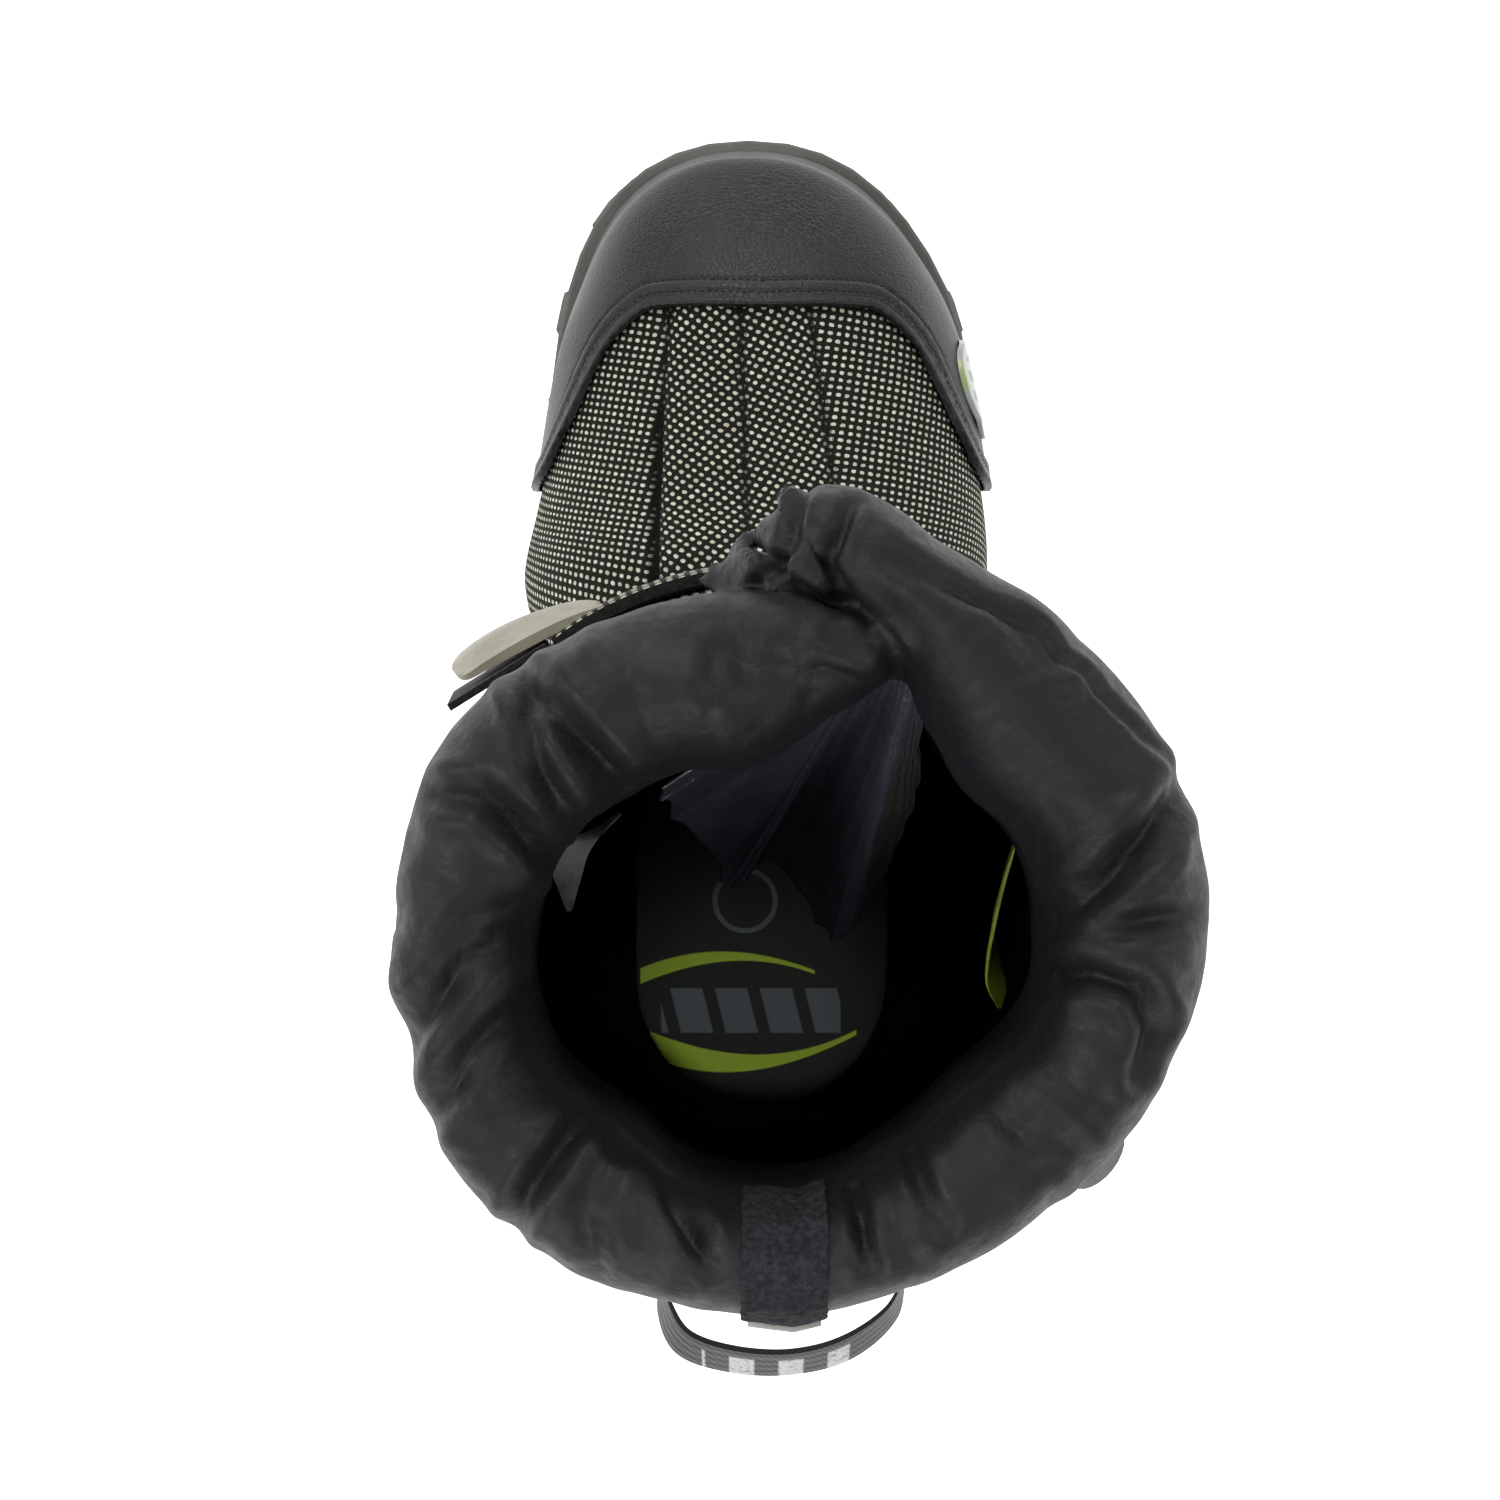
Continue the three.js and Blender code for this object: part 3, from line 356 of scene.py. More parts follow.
def remeshed(piece: bpy.types.Object, voxel: float, rounds: int) -> bpy.types.Object:
    """Remakes a closed piece as one even skin and relaxes it.

    Args:
        piece: the piece, changed in place.
        voxel: the size of the new faces, in millimetres.
        rounds: how often the skin is relaxed.

    Returns:
        The same object.
    """
    skin = piece.modifiers.new("skin", "REMESH")
    skin.mode = "VOXEL"
    skin.voxel_size = voxel * MM
    settled(piece)
    relax(piece.data, rounds)
    return piece


def from_node(frame: dict, node: str, name: str) -> bpy.types.Object:
    """Copies a node's mesh into a welded piece of its own."""
    piece = linked(name, frame["nodes"][node].data.copy())
    piece.data.materials.clear()
    edit(piece, 2e-6)
    return piece


def rounded(piece: bpy.types.Object, width: float, segments: int = 2) -> bpy.types.Object:
    """Rounds a piece's sharp edges by a width in millimetres."""
    bevel = piece.modifiers.new("edges", "BEVEL")
    bevel.width = width * MM
    bevel.segments = segments
    bevel.limit_method = "ANGLE"
    bevel.angle_limit = math.radians(35)
    bevel.use_clamp_overlap = True
    return settled(piece)


def thickened(piece: bpy.types.Object, thickness: float, inner_slot: int = 0) -> bpy.types.Object:
    """Gives an open skin a wall on its inner side, in millimetres."""
    wall = piece.modifiers.new("wall", "SOLIDIFY")
    wall.thickness = thickness * MM
    wall.offset = -1
    wall.use_even_offset = False
    wall.material_offset = inner_slot
    wall.material_offset_rim = inner_slot
    return settled(piece)


def capped(rows: int, columns: int) -> Faces:
    """Lists the faces of a closed sleeve of points stored ring by ring."""
    ends = [tuple(range(columns)), tuple((rows - 1) * columns + n for n in reversed(range(columns)))]
    return grid_faces(rows, columns, around=True) + ends


def shade(piece: bpy.types.Object, angle: float = 180.0) -> None:
    """Shades a piece smooth, keeping edges over an angle sharp."""
    piece.data.polygons.foreach_set("use_smooth", [True] * len(piece.data.polygons))
    if angle < 180:
        piece.data.set_sharp_from_angle(angle=math.radians(angle))
    piece.data.update()


def ripple(points: np.ndarray, size: float, seed: float) -> np.ndarray:
    """Gives a soft random height from -1 to 1 at each point.

    Args:
        points: rows of x, y, z in millimetres.
        size: the width of a bump, in millimetres.
        seed: which pattern.

    Returns:
        One height for each point.
    """
    shift = Vector((seed, 2.3 * seed, -1.7 * seed))
    return np.array([noise.noise(Vector(p) / size + shift) for p in points])


def ribbon(name: str, rows: Rows, thickness: float, across: int = 9, along: int = 70,
           cushion: float = 0.0) -> bpy.types.Object:
    """Makes a closed strip between two edges that are read along one table.

    Args:
        name: the piece's name.
        rows: for each place along, its share and the x, y, z of one edge and of the other.
        thickness: how thick the strip is, in millimetres.
        across: points from edge to edge.
        along: points from end to end.
        cushion: how far the strip's middle swells on each side.

    Returns:
        The strip with its faces out.
    """
    at = np.linspace(rows[0][0], rows[-1][0], along)
    one = np.stack([smooth(rows, column, at) for column in (1, 2, 3)], axis=1)[:, None, :]
    two = np.stack([smooth(rows, column, at) for column in (4, 5, 6)], axis=1)[:, None, :]
    share = np.linspace(0, 1, across)[None, :, None]
    middle = one + (two - one) * share
    way = np.gradient(middle, axis=0)
    face = np.cross(way, np.broadcast_to(two - one, way.shape))
    face /= np.linalg.norm(face, axis=2, keepdims=True) + 1e-9
    ends = np.sin(np.linspace(0, math.pi, along)).clip(0, 1)[:, None, None] ** 0.35
    half = (thickness / 2 + cushion * np.sin(math.pi * share)) * ends
    loop = np.concatenate([middle + face * half, (middle - face * half)[:, ::-1]], axis=1)
    count = loop.shape[1]
    return solid(name, loop.reshape(-1, 3), capped(along, count))


def tube(points: Rows, radius: float, sides: int = 10, steps: int = 14) -> tuple[np.ndarray, Faces]:
    """Makes a tapered fold of cloth along a line.

    Args:
        points: x, y, z that the fold runs through.
        radius: its thickness at its middle.
        sides: points round it.
        steps: points along it.

    Returns:
        Its points and its faces.
    """
    line = np.array(points, float)
    rows = tuple((n, *p) for n, p in enumerate(line))
    at = np.linspace(0, len(line) - 1, steps)
    path = np.stack([smooth(rows, column, at) for column in (1, 2, 3)], axis=1)
    way = np.gradient(path, axis=0)
    way /= np.linalg.norm(way, axis=1, keepdims=True) + 1e-9
    side = np.cross(way, (0.0, 0.0, 1.0))
    side /= np.linalg.norm(side, axis=1, keepdims=True) + 1e-9
    up = np.cross(side, way)
    swell = radius * (0.25 + 0.75 * np.sin(np.linspace(0.12, math.pi - 0.12, steps)) ** 0.8)
    turn = np.linspace(0, math.tau, sides, endpoint=False)
    ring = side[:, None] * np.cos(turn)[None, :, None] + up[:, None] * np.sin(turn)[None, :, None]
    loop = path[:, None] + ring * swell[:, None, None]
    return loop.reshape(-1, 3), capped(steps, sides)


# Finishes


class Cells(Enum):
    """Ways to read a cell pattern."""

    DOTS = "F1"
    PEBBLES = "SMOOTH_F1"
    CRACKS = "DISTANCE_TO_EDGE"


def toned(color: Color, times: float) -> Color:
    """Gives a colour made darker or paler."""
    return tuple(times * c for c in color)


class Shader:
    """A material whose nodes are added one by one."""

    def __init__(self, name: str) -> None:
        """Starts a material with a principled shader."""
        self.material = bpy.data.materials.new(name)
        self.material.use_nodes = True
        self.tree = self.material.node_tree
        self.tree.nodes.clear()
        self.skin = self.node("ShaderNodeBsdfPrincipled")
        out = self.node("ShaderNodeOutputMaterial")
        self.tree.links.new(self.skin.outputs["BSDF"], out.inputs["Surface"])

    def node(self, kind: str, given: dict[str | int, object] | None = None,
             **settings: object) -> bpy.types.Node:
        """Adds a node, sets its properties and feeds its inputs."""
        made = self.tree.nodes.new(kind)
        for key, value in settings.items():
            setattr(made, key, value)
        for key, value in (given or {}).items():
            self.feed(made.inputs[key], value)
        return made

    def feed(self, socket: Socket, value: object) -> None:
        """Links or sets an input; a colour may come without its alpha."""
        if isinstance(value, bpy.types.NodeSocket):
            self.tree.links.new(value, socket)
        else:
            socket.default_value = (*value, 1.0) if isinstance(value, tuple) and len(value) == 3 else value

    def math(self, operation: str, a: object, b: object = 0.0, c: object = 0.0) -> Socket:
        """Adds a math node and gives its result."""
        return self.node("ShaderNodeMath", {0: a, 1: b, 2: c}, operation=operation).outputs[0]

    def plus(self, a: object, b: object) -> Socket:
        """Adds b to a."""
        return self.math("ADD", a, b)

    def minus(self, a: object, b: object) -> Socket:
        """Takes b from a."""
        return self.math("SUBTRACT", a, b)

    def times(self, a: object, b: object) -> Socket:
        """Multiplies a by b."""
        return self.math("MULTIPLY", a, b)

    def window(self, value: object, start: float, full: float, fading: float, end: float) -> Socket:
        """Rises from 0 at start to 1 at full and falls from 1 at fading to 0 at end."""
        return self.times(self.ramp(value, start, full), self.ramp(value, end, fading))

    def laid(self) -> Socket:
        """Gives the place on the piece's weave map."""
        return self.node("ShaderNodeUVMap", uv_map="weave").outputs["UV"]

    def stored(self, name: str) -> Socket:
        """Gives a number that is stored for each point."""
        return self.node("ShaderNodeAttribute", attribute_name=name).outputs["Fac"]

    def object_place(self) -> Socket:
        """Gives the place on the piece, in metres."""
        return self.node("ShaderNodeTexCoord").outputs["Object"]

    def split(self, vector: Socket) -> tuple[Socket, Socket, Socket]:
        """Splits a vector into its three parts."""
        return tuple(self.node("ShaderNodeSeparateXYZ", {0: vector}).outputs)

    def cloud(self, vector: Socket, scale: float, detail: float = 3.0, rough: float = 0.5) -> Socket:
        """Adds a noise and gives its height from 0 to 1."""
        given = {"Vector": vector, "Scale": scale, "Detail": detail, "Roughness": rough}
        return self.node("ShaderNodeTexNoise", given).outputs["Fac"]

    def cells(self, vector: Socket, scale: float, kind: Cells = Cells.DOTS) -> Socket:
        """Adds a cell pattern and gives its distance."""
        given = {"Vector": vector, "Scale": scale}
        return self.node("ShaderNodeTexVoronoi", given, feature=kind.value).outputs["Distance"]

    def ramp(self, value: object, low: float, high: float, to_low: float = 0.0,
             to_high: float = 1.0) -> Socket:
        """Maps a range onto another with a smooth step."""
        given = dict(enumerate((value, low, high, to_low, to_high)))
        return self.node("ShaderNodeMapRange", given, interpolation_type="SMOOTHSTEP").outputs[0]

    def mix(self, share: object, a: object, b: object) -> Socket:
        """Mixes two colours."""
        return self.node("ShaderNodeMix", {0: share, 6: a, 7: b}, data_type="RGBA").outputs[2]

    def bump(self, height: Socket, depth: float, strength: float = 1.0,
             under: Socket | None = None) -> Socket:
        """Turns a height from 0 to 1 into a bump of a depth in millimetres."""
        given = {"Height": height, "Distance": depth * MM, "Strength": strength}
        if under is not None:
            given["Normal"] = under
        return self.node("ShaderNodeBump", given).outputs["Normal"]

    def finish(self, color: object, rough: object, normal: Socket | None = None,
               **fixed: object) -> bpy.types.Material:
        """Feeds the principled shader and gives the material."""
        self.feed(self.skin.inputs["Base Color"], color)
        self.feed(self.skin.inputs["Roughness"], rough)
        if normal is not None:
            self.feed(self.skin.inputs["Normal"], normal)
        for key, value in fixed.items():
            self.skin.inputs[key.replace("_", " ")].default_value = value
        return self.material


@dataclass(frozen=True)
class Tweed:
    """A dark weave with pale squarish floats in a square grid."""

    dark: Color = (0.007, 0.0065, 0.0045)
    pale: Color = (0.7, 0.685, 0.56)
    float_long: float = 0.285
    float_wide: float = 0.25

    def material(self) -> bpy.types.Material:
        """Builds the weave from the piece's own map, whose unit is one float's pitch."""
        s = Shader("tweed_weave")
        place = s.laid()
        wobble = s.cloud(place, 0.9, 2.0)
        u, v, _ = s.split(place)
        u = s.plus(u, s.times(s.minus(wobble, 0.5), 0.35))
        v = s.plus(v, s.times(s.minus(s.cloud(place, 1.3, 2.0), 0.5), 0.3))
        parts = []
        for value, half in ((u, self.float_long), (v, self.float_wide)):
            inside = s.minus(s.math("FRACT", value), 0.5)
            parts.append(s.math("POWER", s.math("DIVIDE", s.math("ABSOLUTE", inside), half), 2.6))
        reach = s.plus(*parts)
        dot = s.ramp(reach, 1.35, 0.6)
        seed = s.node("ShaderNodeCombineXYZ", {0: s.math("FLOOR", u), 1: s.math("FLOOR", v)})
        chance = s.node("ShaderNodeTexWhiteNoise", {"Vector": seed.outputs[0]}, noise_dimensions="2D")
        fade = s.math("MULTIPLY_ADD", chance.outputs["Value"], 0.35, 0.72)
        fine = s.cloud(place, 9.0, 2.0)
        shown = s.times(s.times(dot, fade), s.ramp(fine, 0.2, 0.6, 0.75, 1.0))
        seam = s.stored("seam")
        shown = s.times(shown, s.minus(1.0, seam))
        twill = s.mix(fine, self.dark, toned(self.dark, 2.1))
        color = s.mix(shown, twill, self.pale)
        color = s.mix(s.times(seam, 0.8), color, toned(self.dark, 0.3))
        normal = s.bump(dot, 0.45, 0.9, s.bump(fine, 0.2, 0.6))
        return s.finish(color, 0.9, normal, Specular_IOR_Level=0.2)


@dataclass(frozen=True)
class Nylon:
    """A satin coated nylon with faint ripstop lines and small crumples."""

    name: str
    color: Color
    rough: float
    line_pitch: float = 5.2
    line_depth: float = 0.05
    crumple: float = 0.25
    gloss: float = 0.35

    def material(self) -> bpy.types.Material:
        """Builds the nylon from the piece's own map, in millimetres."""
        s = Shader(self.name)
        place = s.object_place()
        lines = None
        for value in s.split(s.laid())[:2]:
            turn = s.math("FRACT", s.math("DIVIDE", value, self.line_pitch))
            across = s.math("ABSOLUTE", s.minus(turn, 0.5))
            line = s.ramp(across, 0.035, 0.0)
            lines = line if lines is None else s.math("MAXIMUM", lines, line)
        soft = s.cloud(place, 70.0, 4.0, 0.55)
        small = s.cloud(place, 420.0, 3.0, 0.6)
        height = s.plus(soft, s.times(small, 0.18))
        normal = s.bump(lines, self.line_depth, 0.5, s.bump(height, self.crumple * 6, 0.55))
        weave = s.cells(place, 2600.0)
        normal = s.bump(weave, 0.03, 0.25, normal)
        tone = s.ramp(soft, 0.3, 0.75, 0.8, 1.25)
        color = s.mix(s.times(tone, 0.6), toned(self.color, 0.75), toned(self.color, 1.3))
        color = s.mix(s.times(lines, 0.12), color, toned(self.color, 3))
        rough = s.ramp(small, 0.2, 0.8, self.rough - 0.05, self.rough + 0.1)
        return s.finish(color, rough, normal, Specular_IOR_Level=self.gloss)


@dataclass(frozen=True)
class CapLeather:
    """A dark coated leather with a fine grain, scuffed along its raised edge."""

    color: Color = (0.0115, 0.013, 0.0128)
    rough: float = 0.43

    def material(self) -> bpy.types.Material:
        """Builds the grain from the object's own coordinates."""
        s = Shader("cap_leather")
        place = s.object_place()
        grain = s.cells(place, 900.0, Cells.PEBBLES)
        creases = s.ramp(s.cells(place, 620.0, Cells.CRACKS), 0.0, 0.14)
        patch = s.cloud(place, 28.0, 4.0)
        scuff = s.ramp(s.cloud(place, 160.0, 6.0, 0.7), 0.63, 0.8)
        normal = s.bump(creases, 0.12, 0.6, s.bump(grain, 0.16, 0.55, s.bump(patch, 0.8, 0.15)))
        worn = s.stored("edge")
        color = s.mix(s.ramp(patch, 0.35, 0.7), toned(self.color, 0.85), toned(self.color, 1.25))
        color = s.mix(s.times(scuff, 0.25), color, (0.09, 0.09, 0.085))
        color = s.mix(s.times(worn, 0.5), color, toned(self.color, 2.0))
        rough = s.ramp(patch, 0.3, 0.7, self.rough - 0.04, self.rough + 0.06)
        rough = s.plus(rough, s.times(scuff, 0.2))
        return s.finish(color, rough, normal, Specular_IOR_Level=0.42)


@dataclass(frozen=True)
class Rubber:
    """A brown-grey moulded rubber, paler on what faces up from dirt and painted top light, and scuffed at its
    corners.
    """

    color: Color = (0.085, 0.084, 0.077)
    # The pale colour of dirt, which also paints top light on what faces up.
    dust_and_top_light_color: Color = (0.165, 0.164, 0.15)

    def material(self) -> bpy.types.Material:
        """Builds the rubber from the object's own coordinates."""
        s = Shader("sole_rubber")
        place = s.object_place()
        _, _, up = s.split(s.node("ShaderNodeNewGeometry").outputs["Normal"])
        _, _, height = s.split(place)
        pebble = s.cells(place, 1500.0)
        cloud = s.cloud(place, 45.0, 5.0, 0.6)
        speck = s.ramp(s.cloud(place, 700.0, 3.0, 0.7), 0.62, 0.72)
        # Paler where the surface faces up, as on the rim's top: partly dirt, partly painted top light.
        dust_and_painted_top_light = s.times(s.ramp(up, 0.2, 0.95), s.ramp(cloud, 0.25, 0.75, 0.45, 1.0))
        low = s.times(s.ramp(height, 0.016, 0.002), s.ramp(cloud, 0.4, 0.7))
        color = s.mix(cloud, toned(self.color, 0.8), toned(self.color, 1.2))
        # Pale mix: painted top light and dirt on what faces up, and dirt near the floor.
        dust_and_top_light_mask = s.math("MAXIMUM", s.times(dust_and_painted_top_light, 0.75), s.times(low, 0.35))
        color = s.mix(dust_and_top_light_mask, color, self.dust_and_top_light_color)
        color = s.mix(s.times(speck, 0.3), color, (0.32, 0.31, 0.29))
        normal = s.bump(pebble, 0.05, 0.4, s.bump(cloud, 0.5, 0.2))
        return s.finish(color, s.ramp(cloud, 0.3, 0.7, 0.55, 0.72), normal, Specular_IOR_Level=0.4)


@dataclass(frozen=True)
class Felt:
    """A dark fuzzy cloth: fleece lining, hook tape or felted tape."""

    name: str
    color: Color
    fleck: float = 1.8
    scale: float = 900.0
    depth: float = 0.25
    sheen: float = 0.3

    def material(self) -> bpy.types.Material:
        """Builds the nap from the object's own coordinates."""
        s = Shader(self.name)
        place = s.object_place()
        nap = s.cloud(place, self.scale, 4.0, 0.7)
        tufts = s.cloud(place, self.scale / 5, 3.0)
        color = s.mix(s.ramp(nap, 0.35, 0.7), self.color, toned(self.color, self.fleck))
        normal = s.bump(nap, self.depth, 0.8, s.bump(tufts, self.depth * 2, 0.5))
        return s.finish(color, 0.95, normal, Sheen_Weight=self.sheen, Sheen_Roughness=0.5,
                        Specular_IOR_Level=0.12)


@dataclass(frozen=True)
class Webbing:
    """A ribbed black webbing with a row of plain pale bars along its middle."""

    color: Color = (0.012, 0.012, 0.016)
    printed: Color = (0.6, 0.6, 0.6)

    def material(self) -> bpy.types.Material:
        """Builds ribs and bars from the object's own coordinates."""
        s = Shader("loop_webbing")
        place = s.object_place()
        x, y, z = s.split(place)
        rib = s.math("SINE", s.times(z, 2600.0))
        weft = s.math("SINE", s.times(s.plus(x, y), 4200.0))
        height = s.plus(s.times(rib, 0.5), s.times(weft, 0.3))
        turn = s.math("FRACT", s.times(x, 95.0))
        bars = s.window(turn, 0.22, 0.27, 0.72, 0.78)
        middle = s.window(z, 0.2835, 0.2842, 0.296, 0.2968)
        reach = s.window(x, -0.014, -0.0135, 0.0175, 0.018)
        worn = s.ramp(s.cloud(place, 900.0, 4.0, 0.7), 0.3, 0.5)
        shown = s.times(s.times(bars, middle), s.times(reach, worn))
        color = s.mix(s.times(shown, 0.85), self.color, self.printed)
        return s.finish(color, 0.7, s.bump(height, 0.12, 0.8), Sheen_Weight=0.2)


@dataclass(frozen=True)
class Moulded:
    """A moulded plastic with a soft clouding and fine scratches."""

    name: str
    color: Color
    rough: float = 0.35
    clouding: float = 0.3
    coat: float = 0.0
    gloss: float = 0.5

    def material(self) -> bpy.types.Material:
        """Builds the plastic from the object's own coordinates."""
        s = Shader(self.name)
        place = s.object_place()
        cloud = s.cloud(place, 60.0, 4.0, 0.6)
        fine = s.cloud(place, 1200.0, 3.0, 0.7)
        low = toned(self.color, 1 - self.clouding)
        color = s.mix(s.ramp(cloud, 0.3, 0.7), low, self.color)
        rough = s.ramp(fine, 0.3, 0.7, self.rough - 0.05, self.rough + 0.12)
        normal = s.bump(fine, 0.03, 0.3, s.bump(cloud, 0.5, 0.25))
        return s.finish(color, rough, normal, Coat_Weight=self.coat, Coat_Roughness=0.2,
                        Specular_IOR_Level=self.gloss)


@dataclass(frozen=True)
class Medallion:
    """The bare badge: a pale domed face with a dark middle field and a lime rim."""

    face: Color = (0.5, 0.53, 0.5)
    field: Color = (0.16, 0.18, 0.2)
    rim: Color = (0.42, 0.52, 0.16)
    middle: tuple[float, float] = (0.184, 0.057)
    half: tuple[float, float] = (0.015, 0.012)

    def material(self) -> bpy.types.Material:
        """Builds the rings of the oval from the object's own coordinates."""
        s = Shader("badge_face")
        place = s.object_place()
        _, y, z = s.split(place)
        parts = []
        for value, middle, half in zip((y, z), self.middle, self.half):
            parts.append(s.math("POWER", s.math("DIVIDE", s.minus(value, middle), half), 2.0))
        reach = s.math("SQRT", s.plus(*parts))
        bars = s.ramp(s.math("SINE", s.times(y, 1050.0)), -0.2, 0.2)
        over = s.window(z, self.middle[1] - 0.001, self.middle[1], 0.066, 0.0665)
        inner = s.times(s.times(s.ramp(reach, 0.86, 0.8), bars), over)
        color = s.mix(s.times(inner, 0.85), self.face, self.field)
        lime = s.times(s.ramp(z, 0.0672, 0.0678), s.ramp(y, 0.1815, 0.1835))
        color = s.mix(s.times(lime, 0.75), color, self.rim)
        normal = s.bump(inner, 0.15, 0.6)
        return s.finish(color, 0.3, normal, Coat_Weight=0.2, Coat_Roughness=0.15)


@dataclass(frozen=True)
class InsolePrint:
    """The foot bed's cloth, printed with a plain ring, two tapering arcs and slanted bars between them."""

    cloth: Color = (0.03, 0.033, 0.028)
    lime: Color = (0.68, 0.95, 0.08)
    grey: Color = (0.19, 0.225, 0.25)

    def arc(self, s: Shader, x: Socket, y: Socket, middle: tuple[float, float], bend: float,
            ends: tuple[float, float], halves: tuple[float, float]) -> Socket:
        """Draws an arc that tapers from its medial to its lateral end.

        Args:
            s: the material being built.
            x: place across, in millimetres.
            y: place along, in millimetres.
            middle: the arc's crown.
            bend: how fast it falls away, for each square millimetre.
            ends: x at its two ends.
            halves: half its thickness at its two ends.

        Returns:
            A mask from 0 to 1.
        """
        away = s.minus(x, middle[0])
        line = s.math("MULTIPLY_ADD", s.times(away, away), bend, middle[1])
        off = s.math("ABSOLUTE", s.minus(y, line))
        thick = s.ramp(x, ends[0], ends[1], halves[0], halves[1])
        body = s.ramp(s.minus(off, thick), 0.25, -0.25)
        return s.times(body, s.window(x, ends[0], ends[0] + 0.6, ends[1] - 0.6, ends[1]))

    def material(self) -> bpy.types.Material:
        """Builds cloth and print from the object's own coordinates."""
        s = Shader("insole_cloth")
        place = s.object_place()
        x, y, _ = (s.times(part, 1000.0) for part in s.split(place))
        weave = s.cells(place, 1400.0)
        lime = s.math(
            "MAXIMUM",
            self.arc(s, x, y, (-9, 10.6), -0.0075, (-38, 17), (2.4, 0.6)),
            self.arc(s, x, y, (-6.6, -22.6), 0.0072, (-35, 30), (4.1, 0.8)),
        )
        squares = [s.math("POWER", away, 2.0) for away in (s.plus(x, 5.0), s.minus(y, 28.0))]
        far = s.math("SQRT", s.plus(*squares))
        ring = s.ramp(s.math("ABSOLUTE", s.minus(far, 9.4)), 1.0, 0.6)
        slanted = s.minus(s.math("MULTIPLY_ADD", y, 0.25, x), -30.0)
        bar = s.window(s.math("FRACT", s.math("DIVIDE", slanted, 14.0)), 0.1, 0.14, 0.82, 0.86)
        band = s.window(y, -13.5, -13.0, 0.4, 0.9)
        span = s.window(x, -31.5, -31.0, 24.5, 25.0)
        grey = s.math("MAXIMUM", ring, s.times(bar, s.times(band, span)))
        color = s.mix(weave, self.cloth, toned(self.cloth, 1.5))
        color = s.mix(lime, color, self.lime)
        color = s.mix(grey, color, self.grey)
        normal = s.bump(weave, 0.12, 0.5, s.bump(s.math("MAXIMUM", lime, grey), 0.15, 0.6))
        return s.finish(color, 0.8, normal, Sheen_Weight=0.1)


@dataclass(frozen=True)
class Floor:
    """The plain pale floor."""

    color: Color = (0.93, 0.93, 0.93)

    def material(self) -> bpy.types.Material:
        """Builds a plain matt white with a little light of its own."""
        s = Shader("studio_floor")
        return s.finish(self.color, 0.9, None, Emission_Color=(1, 1, 1, 1), Emission_Strength=0.85)


@dataclass(frozen=True)
class Thread:
    """A plain sewing thread."""

    name: str = "thread_black"
    color: Color = (0.012, 0.012, 0.012)

    def material(self) -> bpy.types.Material:
        """Builds the thread with a fine twist."""
        s = Shader(self.name)
        twist = s.cloud(s.object_place(), 2500.0, 2.0)
        color = s.mix(twist, toned(self.color, 0.7), toned(self.color, 1.5))
        return s.finish(color, 0.6, s.bump(twist, 0.05, 0.5))


# Stitches


@dataclass
class Stitching:
    """Rows of thread, each stitch one small spindle laid along a path by a node tree."""

    pitch: float
    long: float
    thick: float

    def tree(self) -> bpy.types.NodeTree:
        """Builds the tree once: path, even points, spindles along it."""
        made = bpy.data.node_groups.get("stitch_row")
        if made:
            return made
        made = bpy.data.node_groups.new("stitch_row", "GeometryNodeTree")
        face = made.interface
        face.new_socket("Path", in_out="INPUT", socket_type="NodeSocketGeometry")
        for name in ("Pitch", "Long", "Thick"):
            face.new_socket(name, in_out="INPUT", socket_type="NodeSocketFloat")
        face.new_socket("Thread", in_out="INPUT", socket_type="NodeSocketMaterial")
        face.new_socket("Stitches", in_out="OUTPUT", socket_type="NodeSocketGeometry")
        kinds = {
            "given": "NodeGroupInput", "curve": "GeometryNodeMeshToCurve",
            "even": "GeometryNodeResampleCurve", "spindle": "GeometryNodeMeshUVSphere",
            "tangent": "GeometryNodeInputTangent", "align": "FunctionNodeAlignRotationToVector",
            "size": "ShaderNodeCombineXYZ", "lay": "GeometryNodeInstanceOnPoints",
            "real": "GeometryNodeRealizeInstances", "paint": "GeometryNodeSetMaterial",
            "out": "NodeGroupOutput",
        }
        nodes = {name: made.nodes.new(kind) for name, kind in kinds.items()}
        nodes["even"].mode = "LENGTH"
        nodes["align"].axis = "X"
        for name, value in (("Segments", 6), ("Rings", 5), ("Radius", 0.5)):
            nodes["spindle"].inputs[name].default_value = value
        for giver, gives, taker, takes in (
            ("given", "Path", "curve", "Mesh"), ("curve", "Curve", "even", "Curve"),
            ("given", "Pitch", "even", "Length"), ("even", "Curve", "lay", "Points"),
            ("spindle", "Mesh", "lay", "Instance"), ("tangent", "Tangent", "align", "Vector"),
            ("align", "Rotation", "lay", "Rotation"), ("given", "Long", "size", 0),
            ("given", "Thick", "size", 1), ("given", "Thick", "size", 2), ("size", 0, "lay", "Scale"),
            ("lay", "Instances", "real", "Geometry"), ("real", "Geometry", "paint", "Geometry"),
            ("given", "Thread", "paint", "Material"), ("paint", "Geometry", "out", "Stitches"),
        ):
            made.links.new(nodes[giver].outputs[gives], nodes[taker].inputs[takes])
        return made

    def sew(self, name: str, paths: list[np.ndarray], slot: str) -> bpy.types.Object:
        """Lays stitches along paths.

        Args:
            name: the piece's name.
            paths: each path's points in millimetres.
            slot: the record's slot that the thread belongs to; not used.

        Returns:
            The stitches as one plain mesh.
        """
        start, edges = 0, []
        for path in paths:
            edges.extend((start + n, start + n + 1) for n in range(len(path) - 1))
            start += len(path)
        piece = surface(name, np.concatenate(paths), [], edges)
        tree = self.tree()
        rows = piece.modifiers.new("rows", "NODES")
        rows.node_group = tree
        values = {"Pitch": self.pitch * MM, "Long": self.long * MM, "Thick": self.thick * MM,
                  "Thread": Thread().material()}
        for item in tree.interface.items_tree:
            if item.in_out == "INPUT" and item.name in values:
                rows[item.identifier] = values[item.name]
        settled(piece)
        shade(piece)
        place(piece, slot)
        return piece


